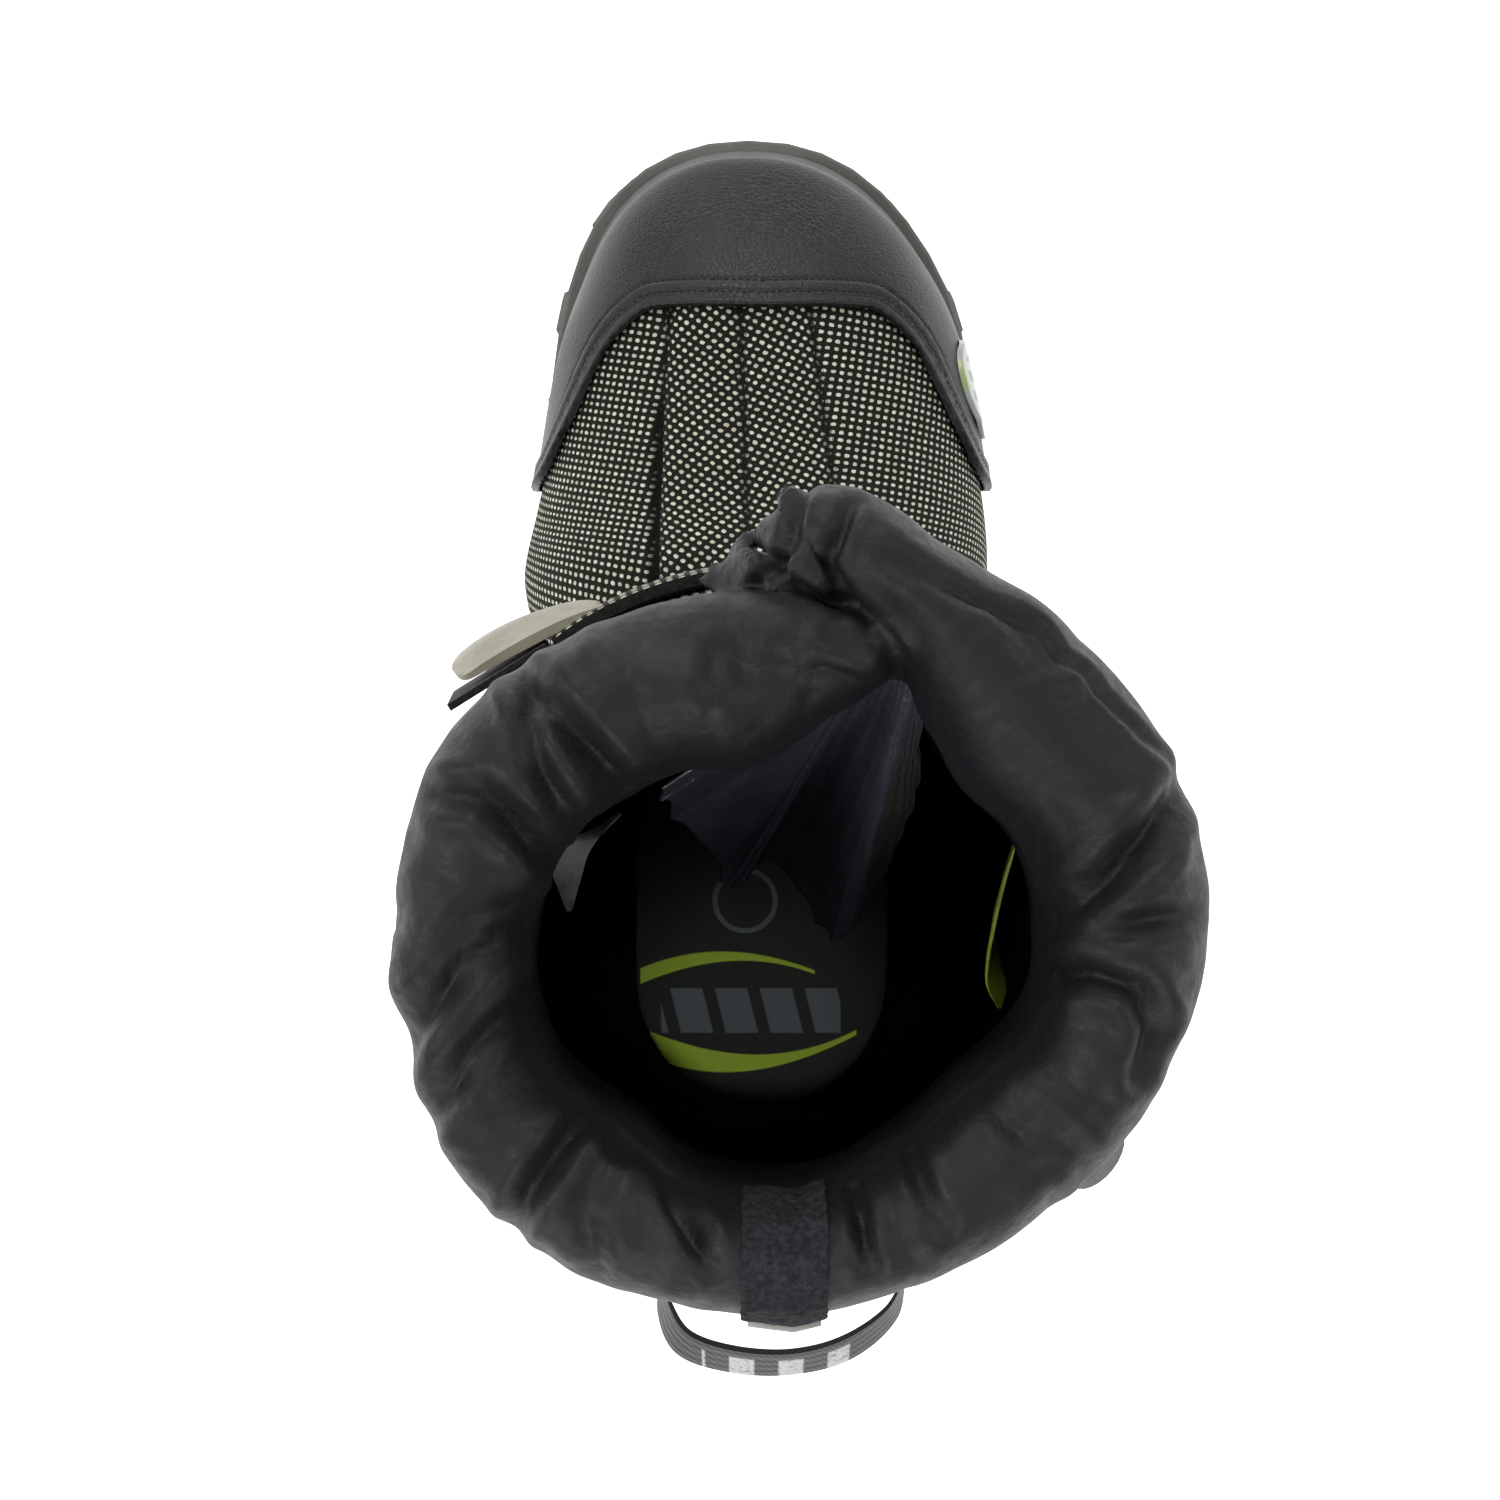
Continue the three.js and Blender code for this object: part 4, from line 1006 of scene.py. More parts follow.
def place(piece: bpy.types.Object, slot: str, *nodes: str) -> None:
    """Rides a piece on the body, hides the nodes that it stands for, and reports it."""
    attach(piece, "root")
    if nodes:
        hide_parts(*nodes)
    log.info("%s: %d faces", piece.name, len(piece.data.polygons))


def dress(piece: bpy.types.Object, finishes: list[bpy.types.Material], angle: float, slot: str,
          *nodes: str) -> None:
    """Gives a piece its finishes, shades it and places it.

    Args:
        piece: the piece.
        finishes: its materials, slot by slot.
        angle: over which its edges stay sharp, in degrees.
        slot: the record's slot; not used.
        nodes: the nodes that it stands for.
    """
    for finish in finishes:
        piece.data.materials.append(finish)
    shade(piece, angle)
    place(piece, slot, *nodes)


def map_corners(piece: bpy.types.Object, laid: np.ndarray) -> None:
    """Writes the weave map from one place for each face corner."""
    layer = piece.data.uv_layers.new(name="weave")
    layer.data.foreach_set("uv", np.ascontiguousarray(laid, dtype=np.float32).ravel())


def corners(mesh: bpy.types.Mesh) -> tuple[np.ndarray, np.ndarray]:
    """Gives the point and the face of each corner."""
    point = np.empty(len(mesh.loops), dtype=np.int64)
    mesh.loops.foreach_get("vertex_index", point)
    sides = np.empty(len(mesh.polygons), dtype=np.int64)
    mesh.polygons.foreach_get("loop_total", sides)
    return point, np.repeat(np.arange(len(sides)), sides)


def mark(mesh: bpy.types.Mesh, name: str, values: np.ndarray) -> None:
    """Stores one number for each point."""
    layer = mesh.attributes.new(name, "FLOAT", "POINT")
    layer.data.foreach_set("value", np.asarray(values, dtype=np.float32))


# Sub-assemblies


@dataclass
class Upper:
    """The woven upper: one skin over foot and shaft, with sewn darts on the vamp and a fleece inside."""

    wall: float = 4.0
    voxel: float = 2.1
    pitch: float = 2.55
    puff: float = 1.1
    slit: float = 1.7
    cut_top: float = 304.5
    bed_cut: float = 3.5
    # Where the vamp's relief and the shaft's folds fade in and out, in y and in z.
    vamp_rear: tuple[float, float] = (98.0, 106.0)
    vamp_front: tuple[float, float] = (214.0, 222.0)
    vamp_low: tuple[float, float] = (58.0, 70.0)
    vamp_high: tuple[float, float] = (134.0, 139.0)
    shaft_low: tuple[float, float] = (66.0, 84.0)
    shaft_high: tuple[float, float] = (284.0, 296.0)
    # The shaft's mean radius, which turns the weave's angle into a length.
    girth: float = 72.0
    # The box of the vamp that shows the weave and the seams up close: its faces are halved.
    near_low: tuple[float, float, float] = (-74.0, 96.0, 55.0)
    near_high: tuple[float, float, float] = (74.0, 212.0, 136.0)
    seams: tuple[Rows, ...] = (
        ((100, -30.2), (119, -29.7), (173, -28.9), (206, -27.3)),
        ((100, -3.6), (119, -4.0), (160, -5.0), (206, -6.4)),
        ((100, 27.0), (119, 25.0), (148, 20.5), (206, 13.9)),
    )
    grain: tuple[float, ...] = (12.0, 38.0, 30.0, 8.0)
    folds: Rows = (
        (100, 118, 34, 14, 2.2, 5), (60, 132, 26, -12, 1.6, 5), (150, 150, 30, 10, 1.4, 6),
        (-90, 96, 40, 6, 1.8, 6), (-60, 140, 30, -14, 1.4, 6), (-140, 170, 34, 16, 1.4, 7),
        (10, 165, 30, 12, 1.6, 6), (200, 205, 36, -10, 1.3, 7), (30, 215, 34, 14, 1.2, 7),
        (-40, 235, 30, -8, 1.2, 7), (120, 90, 24, 10, 1.2, 5), (0, 110, 26, -16, 1.3, 5),
    )

    def seam(self, index: int, y: np.ndarray) -> np.ndarray:
        """Gives x of one of the vamp's seams at y."""
        return smooth(self.seams[index], 1, np.clip(y, 100, 206))

    def skin(self) -> bpy.types.Object:
        """Builds the closed outer form of foot and shaft as one even skin."""
        y = FOOT.toe() - FOOT.rim_wall, FOOT.rim_wall - FOOT.overhang
        share = (1 - np.cos(np.linspace(0, math.pi, 120))) / 2
        stations = (y[1] + (y[0] - y[1]) * share)[:, None]
        sweep = np.concatenate([np.linspace(3, 1, 9), np.linspace(1, -1, 49)[1:-1], np.linspace(-1, -3, 9)])
        foot = FOOT.point(stations, sweep[None, :], 0.0)
        foot[[0, -1], :, 0] = FOOT.centre(stations[[0, -1]])
        rows, columns = foot.shape[:2]
        faces = grid_faces(rows, columns, around=True)
        heights = np.linspace(SHAFT.rings[0][0], 1.02, 70)[:, None]
        turn = np.linspace(0, math.tau, 97)[None, :-1]
        shaft = SHAFT.point(heights, turn, SHAFT.radius(heights, turn), heights * SHAFT.top)
        start, count = rows * columns, shaft.shape[1]
        faces += [tuple(start + n for n in face) for face in capped(len(heights), count)]
        piece = solid("upper_woven", np.concatenate([foot.reshape(-1, 3), shaft.reshape(-1, 3)]), faces)
        return remeshed(piece, self.voxel, 12)

    def open_ends(self, piece: bpy.types.Object) -> None:
        """Cuts the skin open at the collar and underneath, and halves its faces on the vamp."""
        form = bmesh.new()
        form.from_mesh(piece.data)
        everything = form.verts[:] + form.edges[:] + form.faces[:]
        bmesh.ops.bisect_plane(form, geom=everything, plane_co=(0, 0, self.cut_top * MM), plane_no=(0, 0, 1),
                               clear_outer=True)
        middles = [face.calc_center_median() / MM for face in form.faces]
        floors = FOOT.bed(np.array([middle.y for middle in middles])) + self.bed_cut
        under = [face for face, middle, low in zip(form.faces, middles, floors) if middle.z < low]
        bmesh.ops.delete(form, geom=under, context="FACES")
        low, high = (tuple(c * MM for c in corner) for corner in (self.near_low, self.near_high))
        fine = [
            edge for edge in form.edges
            if all(a < c < b for v in edge.verts for a, c, b in zip(low, v.co, high))
        ]
        bmesh.ops.subdivide_edges(form, edges=fine, cuts=1, use_grid_fill=True)
        form.normal_update()
        form.to_mesh(piece.data)
        form.free()

    def shape(self, piece: bpy.types.Object) -> None:
        """Raises the vamp between its seams, sinks the seams and lays folds round the ankle and shaft."""
        relax(piece.data, 2)
        points, out = places(piece.data), normals(piece.data)
        x, y, z = points.T
        on_vamp = step(y, *self.vamp_rear) * (1 - step(y, *self.vamp_front))
        on_vamp = on_vamp * step(z, *self.vamp_low) * (1 - step(z, *self.vamp_high))
        lift = np.ones(len(points))
        near = np.zeros(len(points))
        for index in range(len(self.seams)):
            away = np.abs(x - self.seam(index, y))
            lift *= 1 - np.exp(-((away / 2.4) ** 1.4))
            near = np.maximum(near, np.exp(-((away / 0.75) ** 2)))
        behind = x - self.seam(0, y)
        open_share = 1 - step(y, 168, 180)
        deep = np.exp(-(((behind + 0.9) / 1.3) ** 2)) * open_share
        tuck = step(behind, -0.2, 1.8) * (1 - step(x - self.seam(1, y), -9, 0)) * (0.4 + 0.6 * open_share)
        height = self.puff * (lift - 1) - self.slit * deep + 1.3 * tuck
        height += 0.35 * ripple(points, 22, 3.1)
        moved = height * on_vamp
        on_shaft = step(z, *self.shaft_low) * (1 - step(z, *self.shaft_high)) * (1 - on_vamp)
        turn = np.degrees(np.arctan2(y - SHAFT.centre, x))
        wave = 0.9 * ripple(points * (1, 1, 0.6), 46, 7.7) + 0.3 * ripple(points, 15, 1.9)
        for at, level, reach, tilt, depth, width in self.folds:
            off = (turn - at + 180) % 360 - 180
            away = z - level - tilt * off / reach
            along = np.exp(-((off / reach) ** 2))
            ridge, trough = (np.exp(-(((away - far * width) / width) ** 2)) for far in (1.5, 0))
            wave += along * depth * (0.6 * ridge - trough)
        moved += wave * on_shaft * 0.8
        set_places(piece.data, points + out * moved[:, None])
        mark(piece.data, "seam", np.clip(near * on_vamp + 0.95 * deep * on_vamp, 0, 1))

    def lay_weave(self, piece: bpy.types.Object) -> None:
        """Lays the weave's map: along the surface on the vamp, turned panel by panel, and round the shaft."""
        points = places(piece.data)
        x, y, z = points.T
        stations = np.linspace(-38, 255, 150)
        sweep = np.linspace(0, 1, 60)
        arcs = {}
        for sign in (-1, 1):
            line = FOOT.point(stations[:, None], sign * np.maximum(sweep, 1e-4)[None, :], 0.0)
            steps = np.linalg.norm(np.diff(line[:, :, [0, 2]], axis=1), axis=2)
            arcs[sign] = np.concatenate([np.zeros((len(stations), 1)), np.cumsum(steps, axis=1)], axis=1)
        crown = FOOT.point(stations, np.zeros(len(stations)), 0.0)
        run = np.concatenate([[0], np.cumsum(np.linalg.norm(np.diff(crown[:, 1:], axis=0), axis=1))])
        at = np.clip(y, stations[0] + 1, stations[-1] - 1)
        across = x - FOOT.centre(at)
        sign = np.where(across < 0, -1, 1)
        medial, lateral = (smooth(FOOT.vamp, column, FOOT.along(at)) for column in (1, 2))
        bulge = FOOT.bulge * np.where(sign < 0, medial, lateral)
        half = np.maximum(FOOT.half(at, FOOT.rim_wall - bulge), 1)
        rise = np.clip(z - FOOT.wide(at), 0, None)
        angle = np.arctan2((rise / np.maximum(FOOT.crown(at, 0.0), 1)) ** (FOOT.section / 2),
                           (np.abs(across) / half) ** (FOOT.section / 2))
        s = (1 - angle / (math.pi / 2)) * (len(sweep) - 1)
        t = (at - stations[0]) / (stations[1] - stations[0])
        i = np.clip(t.astype(int), 0, len(stations) - 2)
        j = np.clip(s.astype(int), 0, len(sweep) - 2)
        fi, fj = t - i, np.clip(s - j, 0, 1)
        reach = np.zeros(len(points))
        for side in (-1, 1):
            table = arcs[side]
            value = (table[i, j] * (1 - fi) * (1 - fj) + table[i + 1, j] * fi * (1 - fj)
                     + table[i, j + 1] * (1 - fi) * fj + table[i + 1, j + 1] * fi * fj)
            reach = np.where(sign == side, value, reach)
        reach += np.clip(FOOT.wide(at) - z, 0, None)
        foot_u, foot_v = sign * reach, np.interp(at, stations, run)
        share = np.clip(z / SHAFT.top, SHAFT.rings[0][0], 1)
        cx, cy = SHAFT.axis(share)
        turn = np.arctan2(x - cx, y - cy)
        out = np.hypot(x - cx, y - cy) / SHAFT.radius(share, math.pi / 2 - turn)
        point, face = corners(piece.data)
        faces = len(piece.data.polygons)

        def mean(values: np.ndarray) -> np.ndarray:
            """Gives each face's mean of its corners' values."""
            return np.bincount(face, values[point], faces) / np.bincount(face, minlength=faces)

        on_foot = (mean(out) > 1.025) | (mean(z) < 60)
        fx, fy = mean(x), mean(y)
        panel = sum((fx > self.seam(n, fy)).astype(int) for n in range(3))
        tilt = np.radians(np.where(fy > self.vamp_rear[0], np.array(self.grain)[panel], 0))[face]
        u, v = foot_u[point], foot_v[point]
        foot = np.stack([u * np.cos(tilt) - v * np.sin(tilt), u * np.sin(tilt) + v * np.cos(tilt)], axis=1)
        wrapped = turn[point]
        crosses = (mean(np.abs(turn)) > 2.6)[face]
        wrapped = np.where(crosses & (wrapped < 0), wrapped + math.tau, wrapped)
        shaft = np.stack([wrapped * self.girth, z[point]], axis=1)
        map_corners(piece, np.where(on_foot[face][:, None], foot, shaft) / self.pitch)

    def seam_paths(self, piece: bpy.types.Object) -> list[np.ndarray]:
        """Gives the lines of stitching beside the vamp's seams."""
        paths = []
        for index, side in ((0, 1.6), (1, -1.4), (1, 1.4), (2, -1.4), (2, 1.4)):
            y = np.linspace(205, 120, 60)
            x = self.seam(index, y) + side
            z = self.height(piece, x, y) - 0.15 + (0.35 if index == 0 else 0.0)
            paths.append(np.stack([x, y, z], axis=1))
        return paths

    def height(self, piece: bpy.types.Object, x: np.ndarray, y: np.ndarray) -> np.ndarray:
        """Reads the finished vamp's height under points."""
        cast = []
        for a, b in zip(x, y):
            hit, spot, *_ = piece.ray_cast(Vector((a * MM, b * MM, 0.2)), Vector((0, 0, -1)))
            cast.append(spot.z / MM if hit else 100.0)
        return np.array(cast)

    def build(self) -> None:
        """Builds and dresses the upper."""
        piece = self.skin()
        self.open_ends(piece)
        self.shape(piece)
        self.lay_weave(piece)
        lining = Felt("fleece_lining", (0.0022, 0.0026, 0.0026), 1.8, 500.0, 0.5, 0.0)
        piece.data.materials.append(Tweed().material())
        piece.data.materials.append(lining.material())
        thickened(piece, self.wall, 1)
        dress(piece, [], 180, "tweed", "upper")
        bpy.context.view_layer.update()
        Stitching(2.5, 1.6, 0.4).sew("vamp_stitches", self.seam_paths(piece), "tweed")


@dataclass
class ToeCap:
    """The moulded toe cap with its raised, twice stitched rear edge, and the oval badge."""

    thickness: float = 2.3
    seat: float = 0.3
    edge_step: float = 0.9
    edge_width: float = 8.0
    stitch_rows: tuple[float, float] = (4.5, 8.6)
    rear: Rows = (
        (0, 205), (31, 205), (36, 203), (46, 192.8), (58, 170.3), (66, 157), (72, 154), (90, 154),
    )

    def edge_at(self, x: np.ndarray, y: np.ndarray) -> np.ndarray:
        """Gives y of the rear edge at x."""
        return smooth(self.rear, 1, np.clip(np.abs(x - FOOT.centre(y)), 0, 90))

    def grid(self) -> tuple[np.ndarray, np.ndarray]:
        """Places the cap's outer points from the rear edge to the toe, with their distance to the edge."""
        side = np.linspace(1, 2.02, 16)[1:]
        sweep = np.concatenate([-side[::-1], np.linspace(-1, 1, 121), side])
        offset = self.seat + self.thickness
        low, high = np.full(len(sweep), 150.0), np.full(len(sweep), 210.0)
        for _ in range(30):
            middle = (low + high) / 2
            x = FOOT.point(middle, sweep, offset)[:, 0]
            ahead = middle > self.edge_at(x, middle)
            low, high = np.where(ahead, low, middle), np.where(ahead, middle, high)
        start = (low + high) / 2
        end = FOOT.toe() - FOOT.rim_wall + offset
        share = (1 - np.cos(np.linspace(0, math.pi, 112))) / 2
        y = start[None, :] + (end - start)[None, :] * share[:, None]
        plain = FOOT.point(y, sweep[None, :], offset)
        edge = plain[0]
        away = np.min(np.linalg.norm(plain[:, :, None, :] - edge[None, None, ::2, :], axis=3), axis=2)
        raised = self.edge_step * (1 - step(away, self.edge_width - 0.9, self.edge_width + 0.3))
        groove = sum(0.4 * np.exp(-(((away - row) / 0.6) ** 2)) for row in self.stitch_rows)
        groove += 0.25 * np.exp(-(((away - 2.9) / 0.5) ** 2))
        fall = 0.7 * (1 - step(away, 0.0, 0.9))
        full = FOOT.point(y, sweep[None, :], offset + raised - groove - fall)
        full[-1, :, 0] = FOOT.centre(full[-1, :, 1])
        full[:, :, 1] = np.minimum(full[:, :, 1], end)
        return full, away

    def rows(self, points: np.ndarray, away: np.ndarray) -> list[np.ndarray]:
        """Traces the stitch rows at their distances from the edge."""
        paths = []
        for distance in self.stitch_rows:
            path = []
            for c in range(8, points.shape[1] - 8):
                r = int(np.argmax(away[:, c] > distance))
                t = (distance - away[r - 1, c]) / max(away[r, c] - away[r - 1, c], 1e-6)
                path.append(points[r - 1, c] * (1 - t) + points[r, c] * t + (0, 0, 0.12))
            paths.append(np.array(path))
        return paths

    def build(self, frame: dict) -> None:
        """Builds the cap, its stitches and the badge."""
        points, away = self.grid()
        piece = surface("toe_cap_leather", points.reshape(-1, 3), grid_faces(*away.shape))
        worn = np.exp(-(((away - self.edge_width) / 0.7) ** 2)) + 0.8 * np.exp(-((away / 0.8) ** 2))
        mark(piece.data, "edge", worn.ravel())
        edit(piece, 2e-5)
        if normals(piece.data)[:, 2].mean() < 0:
            piece.data.flip_normals()
        thickened(piece, self.thickness - 0.3)
        dress(piece, [CapLeather().material()], 60, "cap_leather", "toe_cap")
        Stitching(2.1, 1.4, 0.6).sew("cap_stitches", self.rows(points, away), "cap_leather")
        badge = rounded(from_node(frame, "badge", "badge_oval"), 0.5, 3)
        dress(badge, [Medallion().material()], 50, "badge_plastic", "badge")


@dataclass
class Collar:
    """The padded nylon roll, with its creases laid in plan, in millimetres."""

    height: float = 32.0
    hang: float = 54.0
    hem: float = 2.6
    flare: float = 3.0
    seat: float = 0.3
    steps: int = 460
    rings: Rows = (
        (93, 1.24, 1.1, 0.45, 0), (86, 1.27, 0.96, 0.75, 0), (78, 1.23, 0.88, 0.95, 0),
        (70, 1.165, 0.8, 1, 0),
        (63, 1.14, 0.72, 1, 0), (58, 1.13, 0.67, 1, 0.8), (40, 1.12, 0.6, 1, 1), (20, 1.12, 0.66, 0.98, 1),
        (0, 1.13, 0.69, 0.96, 1), (-22, 1.08, 0.7, 0.96, 1), (-43, 1.03, 0.635, 0.96, 1),
        (-66, 1.04, 0.68, 0.97, 1), (-90, 1.1, 0.765, 0.95, 1), (-112, 1.11, 0.77, 0.97, 1),
        (-131, 1.145, 0.725, 1, 1), (-152, 1.15, 0.79, 0.98, 1), (-180, 1.137, 0.76, 0.96, 1),
        (-205, 1.13, 0.67, 0.98, 1), (-217, 1.09, 0.6, 1, 1), (-236, 1.02, 0.54, 1, 1),
        (-250, 0.99, 0.5, 0.98, 0.9), (-264, 0.97, 0.53, 0.95, 0.6), (-276, 0.95, 0.62, 0.88, 0.3),
        (-284, 0.91, 0.68, 0.8, 0), (-290, 0.87, 0.74, 0.6, 0),
    )
    skin: float = 1.15
    crumple: float = 2.9
    # Each fold between the two ends: its thickness, then the points that it runs through.
    knots: tuple[tuple[float, Rows], ...] = (
        (4.0, ((-8, 114, 309), (0, 111, 312), (8, 108, 316))),
        (2.3, ((-14, 111, 306), (-4, 106, 313), (9, 102.5, 318), (23, 100, 318))),
        (2.0, ((-12, 113.6, 306), (-5, 110.5, 315), (4, 106, 320), (15, 102.5, 322))),
        (2.2, ((-7, 117.5, 307), (-3, 113, 318), (4, 109, 323), (14, 105.4, 323))),
        (2.3, ((-5, 119.5, 309), (1, 118, 318), (4, 113, 325), (9, 108, 325))),
        (2.2, ((1, 122, 314), (5, 119, 324), (7, 113, 328), (12, 107, 327))),
        (3.2, ((4, 127, 317), (9, 122, 325), (14, 114, 328), (20, 106, 327))),
        (5.0, ((-9, 110, 299), (2, 108, 303), (12, 106, 307), (24, 100, 311))),
        (6.0, ((0, 115, 300), (8, 112, 306), (16, 108, 311), (26, 102, 313))),
        (1.9, ((17, 103, 327), (21, 99, 329), (26, 96, 327), (28, 92, 320))),
        (1.8, ((22, 104, 330), (26, 99, 333), (29, 95, 331), (31, 90, 322))),
        (2.6, ((12, 101, 318), (19, 98, 321), (25, 94, 319), (28, 90, 310))),
    )
    # Each crease: depth, width, then the points that it runs through.
    creases: tuple[tuple[float, float, Rows], ...] = (
        (5.0, 3.0, ((-50, 91), (-43, 83), (-34, 73), (-27, 64))),
        (3.6, 2.4, ((-50, 90), (-46, 76), (-41, 62))),
        (4.6, 2.8, ((-66, 66), (-57, 66), (-49, 60), (-41, 50), (-36, 44))),
        (2.4, 5.0, ((-26, 97), (-15, 96), (-1, 92), (12, 88))),
        (2.4, 2.6, ((-68, 34), (-58, 42), (-47, 45))),
        (5.2, 3.4, ((-76, 12), (-68, 24), (-59, 34), (-46, 40))),
        (2.6, 2.6, ((-70, -4), (-63, 8), (-58, 16), (-50, 24))),
        (4.2, 2.4, ((-53, -26), (-47, -12), (-40, -2), (-33, 4))),
        (4.8, 2.2, ((-11, -27), (-16, -18), (-21, -10), (-31, -2))),
        (4.8, 1.9, ((20, -27), (18, -18), (17, -10), (15, -2))),
        (5.4, 3.2, ((87, 72), (76, 58), (64, 47), (54, 38))),
        (2.6, 2.6, ((84, 43), (72, 41), (58, 37))),
        (4.0, 2.6, ((50, 25), (63, 31), (73, 28), (77, 20), (74, 10))),
        (3.0, 2.2, ((25, 4), (29, -6), (34, -19))),
        (-2.4, 6.0, ((29, -6), (43, 8), (55, 20))),
        (1.2, 1.1, ((36, 109), (54, 99), (72, 81), (83, 68))),
        (3.2, 1.6, ((-3, 119), (5, 109), (16, 103))),
        (3.0, 1.5, ((17, 123), (12, 112), (20, 101))),
        (1.8, 2.4, ((23, 113), (45, 104), (58, 92))),
        (2.8, 1.5, ((8, 128), (5, 115), (-2, 108))),
        (1.8, 2.0, ((28, 86), (17, 88), (2, 94))),
        (2.4, 3.0, ((-34, -30), (-36, -16), (-30, -6))),
        (1.8, 3.4, ((66, -10), (54, 0), (44, 4))),
    )

    def section(self, turn: np.ndarray) -> np.ndarray:
        """Places the roll's sections, each a closed line of thirteen points."""
        degrees = np.degrees(turn)
        ring = SHAFT.radius(np.ones_like(turn), turn)
        outer, inner = (ring * smooth(self.rings, column, degrees) for column in (1, 2))
        rise = self.height * smooth(self.rings, 3, degrees)
        hang = np.maximum(smooth(self.rings, 4, degrees), 0)
        width, base = outer - inner, SHAFT.top + self.seat
        hem = base - self.hang * hang
        skirt = np.minimum(self.hem, width / 2)
        profile = (
            (inner + self.flare * hang, hem), (inner, base + 0.1 * rise),
            (inner + 0.02 * width, base + 0.4 * rise), (inner + 0.13 * width, base + 0.78 * rise),
            (inner + 0.34 * width, base + 0.97 * rise), (inner + 0.56 * width, base + rise),
            (inner + 0.8 * width, base + 0.87 * rise), (inner + 0.96 * width, base + 0.58 * rise),
            (outer, base + 0.3 * rise), (inner + 0.96 * width, base + 0.05 * rise),
            (inner + 0.86 * width, base + 0 * rise), (inner + skirt + 0.1 * width, base + 0.4 + 0 * rise),
            (inner + skirt + self.flare * hang, hem + 0.1),
        )
        return np.stack([SHAFT.point(np.ones_like(turn), turn, r, z) for r, z in profile], axis=1)

    def rounded_line(self, lines: np.ndarray, parts: int) -> np.ndarray:
        """Draws a smooth closed line through each section's points."""
        made = []
        count = lines.shape[1]
        for n in range(count):
            a, b, c, d = (lines[:, (n + k) % count] for k in (-1, 0, 1, 2))
            tight = 0.15 if n in (0, 11, 12) else 0.5
            for t in np.linspace(0, 1, parts, endpoint=False):
                m0, m1 = (c - a) * tight, (d - b) * tight
                made.append((2 * t**3 - 3 * t**2 + 1) * b + (t**3 - 2 * t**2 + t) * m0
                            + (3 * t**2 - 2 * t**3) * c + (t**3 - t**2) * m1)
        return np.stack(made, axis=1)

    def fold(self, points: np.ndarray, out: np.ndarray) -> np.ndarray:
        """Gives how far each point moves out along its normal for the creases."""
        moved = np.zeros(len(points))
        plan = points[:, :2]
        facing = np.clip(out[:, 2] * 1.5 + 0.15, 0, 1)
        for depth, width, line in self.creases:
            line = np.array(line, float)
            best = np.full(len(points), 1e9)
            share = np.zeros(len(points))
            for n in range(len(line) - 1):
                a, b = line[n], line[n + 1]
                t = np.clip(((plan - a) @ (b - a)) / ((b - a) @ (b - a)), 0, 1)
                away = np.linalg.norm(plan - a - t[:, None] * (b - a), axis=1)
                nearer = away < best
                best, share = np.where(nearer, away, best), np.where(nearer, (n + t) / (len(line) - 1), share)
            taper = 0.45 + 0.55 * np.sin(math.pi * share) ** 0.7
            moved += depth * taper * (0.42 * np.exp(-(((best - 1.9 * width) / width) ** 2))
                                      - np.exp(-((best / width) ** 1.7)))
        return moved * facing

    def around(self, points: np.ndarray) -> tuple[np.ndarray, np.ndarray]:
        """Gives each point's turn in degrees and its distance from the shaft's axis."""
        x, y = SHAFT.axis(np.float64(1))
        return (np.degrees(np.arctan2(points[:, 1] - y, points[:, 0] - x)),
                np.hypot(points[:, 0] - x, points[:, 1] - y))

    def crease(self, piece: bpy.types.Object) -> None:
        """Lays the creases, small puckers and soft lumps on the roll."""
        points, out = places(piece.data), normals(piece.data)
        polar, far = self.around(points)
        radial = np.stack([polar * 0.9, far * 0.12, points[:, 2] * 0.08], axis=1)
        tape = np.exp(-(((polar + 90) / 13) ** 4))
        rolled = step(points[:, 2], 298, 312)
        moved = self.fold(points, out) * rolled
        moved += rolled * (0.55 * ripple(radial, 15, 2.2) + 0.18 * ripple(radial, 5, 5.1)) * (1 - 0.8 * tape)
        moved += rolled * (1.2 * ripple(points, 30, 8.8) + 0.16 * ripple(points, 8, 4.4)) * (1 - tape)
        cloth = np.stack([polar * 1.25 + far * 0.35, far * 0.5, points[:, 2] * 0.4], axis=1)
        sharp = np.abs(ripple(cloth, 21, 6.3)) + 0.45 * np.abs(ripple(cloth, 10, 1.4))
        upward = np.clip(1.5 * out[:, 2] + 0.2, 0.12, 1)
        moved += rolled * upward * self.crumple * (sharp - 0.25) * (1 - tape)
        moved += (1 - rolled) * 1.1 * ripple(points, 16, 6.4)
        moved *= 1 - 0.9 * tape * (moved > 0)
        set_places(piece.data, points + out * np.clip(moved, -5.5, 2.4)[:, None])
        relax(piece.data, 1, 0.3)

    def lay_lines(self, piece: bpy.types.Object) -> None:
        """Lays the map of the ripstop lines, round the shaft and out from it."""
        points = places(piece.data)
        polar, far = self.around(points)
        point, face = corners(piece.data)
        count = len(piece.data.polygons)
        mean = np.bincount(face, np.abs(polar[point]), count) / np.bincount(face, minlength=count)
        turn = polar[point]
        turn = np.where((mean[face] > 170) & (turn < 0), turn + 360, turn)
        map_corners(piece, np.stack([turn * 1.25, (far + 0.5 * points[:, 2])[point]], axis=1))

